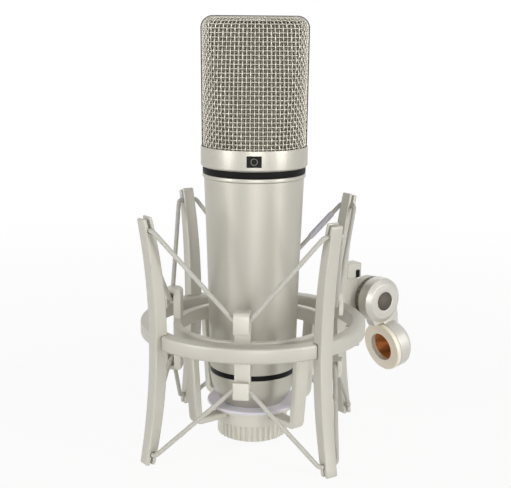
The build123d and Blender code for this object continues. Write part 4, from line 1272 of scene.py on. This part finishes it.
dressedNodes = {      # node: body, slot, material
    "socket_face_ring": ("swivel", "socket_face", lighterPaintedCreamLacquer),
    "friction_disc": ("swivel", "serrated", zincPlate),
    "pivot_bolt": ("frame", "dark_steel", darkNickelSteel),
    "pivot_knob": ("knob", "satin_nickel_frame", pearlLacquer),
    "head_deck": ("microphone", "inner_plastic", creamInsulator),
    "capsule_post": ("microphone", "inner_plastic", creamInsulator),
    "capsule_body": ("microphone", "capsule_brass", milledBrass),
    "front_diaphragm": ("microphone", "diaphragm", goldFilm),
    "rear_diaphragm": ("microphone", "diaphragm", goldFilm),
    "front_clamp_ring": ("microphone", "capsule_brass", milledBrass),
    "rear_clamp_ring": ("microphone", "capsule_brass", milledBrass),
    "capsule_screws": ("microphone", "contact_gold", goldFilm),
    "chassis_rails": ("microphone", "chassis", drawnAluminium),
    "circuit_board": ("microphone", "circuit", greenLaminate),
    "output_transformer": ("microphone", "transformer", laminatedCore),
    "board_capacitors": ("microphone", "capacitor", blueSleeve),
    "connector_insert": ("microphone", "insert", blackInsulator),
    "connector_pins": ("microphone", "contact_gold", goldFilm),
}
for node, finish in dressedNodes.items():
    first, *rest = node.split("_")
    keepPiece(first + "".join(word.capitalize() for word in rest), mergedCopy(node), *finish,
              [node])
print("swivel and inner pieces made")


studio = {
    "floorSize": 6.0, "floor": "#f4f4f2", "room": "#f2f0ee", "white": 1.0,
    "wallLight": 0.58, "ceilingLight": 0.12,      # the room's glow at eye level and overhead,
    "wallEnds": 0.1, "ceilingStarts": 0.8,        # by the sine of the height it comes from
    "shadowShare": 0.08,      # how much of the floor's own shading the camera sees
    "shadowReach": (0.18, 0.7),     # it fades to plain white between these distances
}


def raysThatSee(tree):
    # 1 for camera, glossy and transmission rays, 0 for the rest.
    rays = addNode(tree, "ShaderNodeLightPath")
    seen = rays.outputs["Is Camera Ray"]
    for kind in ("Is Glossy Ray", "Is Transmission Ray"):
        seen = addNode(tree, "ShaderNodeMath", {
            0: seen, 1: rays.outputs[kind]}, operation="MAXIMUM")
    return seen


world = bpy.data.worlds.new("whiteStudio")
world.use_nodes = True
tree = world.node_tree
tree.nodes.clear()
white = addNode(tree, "ShaderNodeBackground", {"Color": (1, 1, 1, 1), "Strength": studio["white"]})
roomWay = addNode(tree, "ShaderNodeSeparateXYZ", {
    "Vector": addNode(tree, "ShaderNodeTexCoord").outputs["Generated"]})
roomLight = addNode(tree, "ShaderNodeMapRange", {
    "Value": roomWay.outputs["Z"], "From Min": studio["wallEnds"],
    "From Max": studio["ceilingStarts"], "To Min": studio["wallLight"],
    "To Max": studio["ceilingLight"]})
room = addNode(tree, "ShaderNodeBackground", {
    "Color": toLinear(studio["room"]), "Strength": roomLight})
mixed = addNode(tree, "ShaderNodeMixShader", {0: raysThatSee(tree), 1: room, 2: white})
addNode(tree, "ShaderNodeOutputWorld", {"Surface": mixed})
bpy.context.scene.world = world

floorMaterial, tree = newMaterial("paleStudioFloor")
paint = addNode(tree, "ShaderNodeBsdfPrincipled", {
    "Base Color": toLinear(studio["floor"]), "Roughness": 0.9})
glow = addNode(tree, "ShaderNodeEmission", {"Color": (1, 1, 1, 1), "Strength": 1.0})
floorPlace = addNode(tree, "ShaderNodeTexCoord").outputs["Object"]
away = addNode(tree, "ShaderNodeVectorMath", {0: floorPlace}, operation="LENGTH")
glowShare = addNode(tree, "ShaderNodeMapRange", {
    "Value": away.outputs["Value"], "From Min": studio["shadowReach"][0],
    "From Max": studio["shadowReach"][1], "To Min": 1 - studio["shadowShare"], "To Max": 1.0})
share = addNode(tree, "ShaderNodeMath", {0: raysThatSee(tree), 1: glowShare}, operation="MULTIPLY")
mixed = addNode(tree, "ShaderNodeMixShader", {0: share, 1: paint, 2: glow})
addNode(tree, "ShaderNodeOutputMaterial", {"Surface": mixed})
half = studio["floorSize"] / 2
floorMesh = bpy.data.meshes.new("studioFloor")
floorMesh.from_pydata([(x * half, y * half, 0) for x, y in squareCorners], [], [(0, 1, 2, 3)])
floorMesh.materials.append(floorMaterial)
studioFloor = showObject("studioFloor", floorMesh)

softBoxes = {      # place, what it points at, width, height, watts
    "leftSoftBox": ((-0.78, -0.52, 0.30), (0, 0, 0.12), 0.22, 0.8, 3.8),
    "rightSoftBox": ((0.78, -0.48, 0.30), (0, 0, 0.12), 0.22, 0.8, 3.9),
    "frontSoftBox": ((0.10, -1.25, 0.22), (0, 0, 0.1), 0.6, 0.4, 4.3),
    "topSoftBox": ((0.0, -0.25, 1.1), (0, 0, 0.1), 0.8, 0.8, 0.3),
    "backSoftBox": ((0.2, 0.9, 0.6), (0, 0, 0.1), 0.8, 0.6, 1.2),
}
for boxName, (place, target, width, tall, watts) in softBoxes.items():
    lamp = bpy.data.lights.new(boxName, "AREA")
    lamp.shape = "RECTANGLE"
    lamp.size, lamp.size_y = width, tall
    lamp.energy = watts
    lampObject = showObject(boxName, lamp)
    lampObject.location = place
    way = Vector(target) - Vector(place)
    lampObject.rotation_euler = way.to_track_quat("-Z", "Y").to_euler()
bpy.context.scene.view_settings.view_transform = "Standard"
print("studio made")
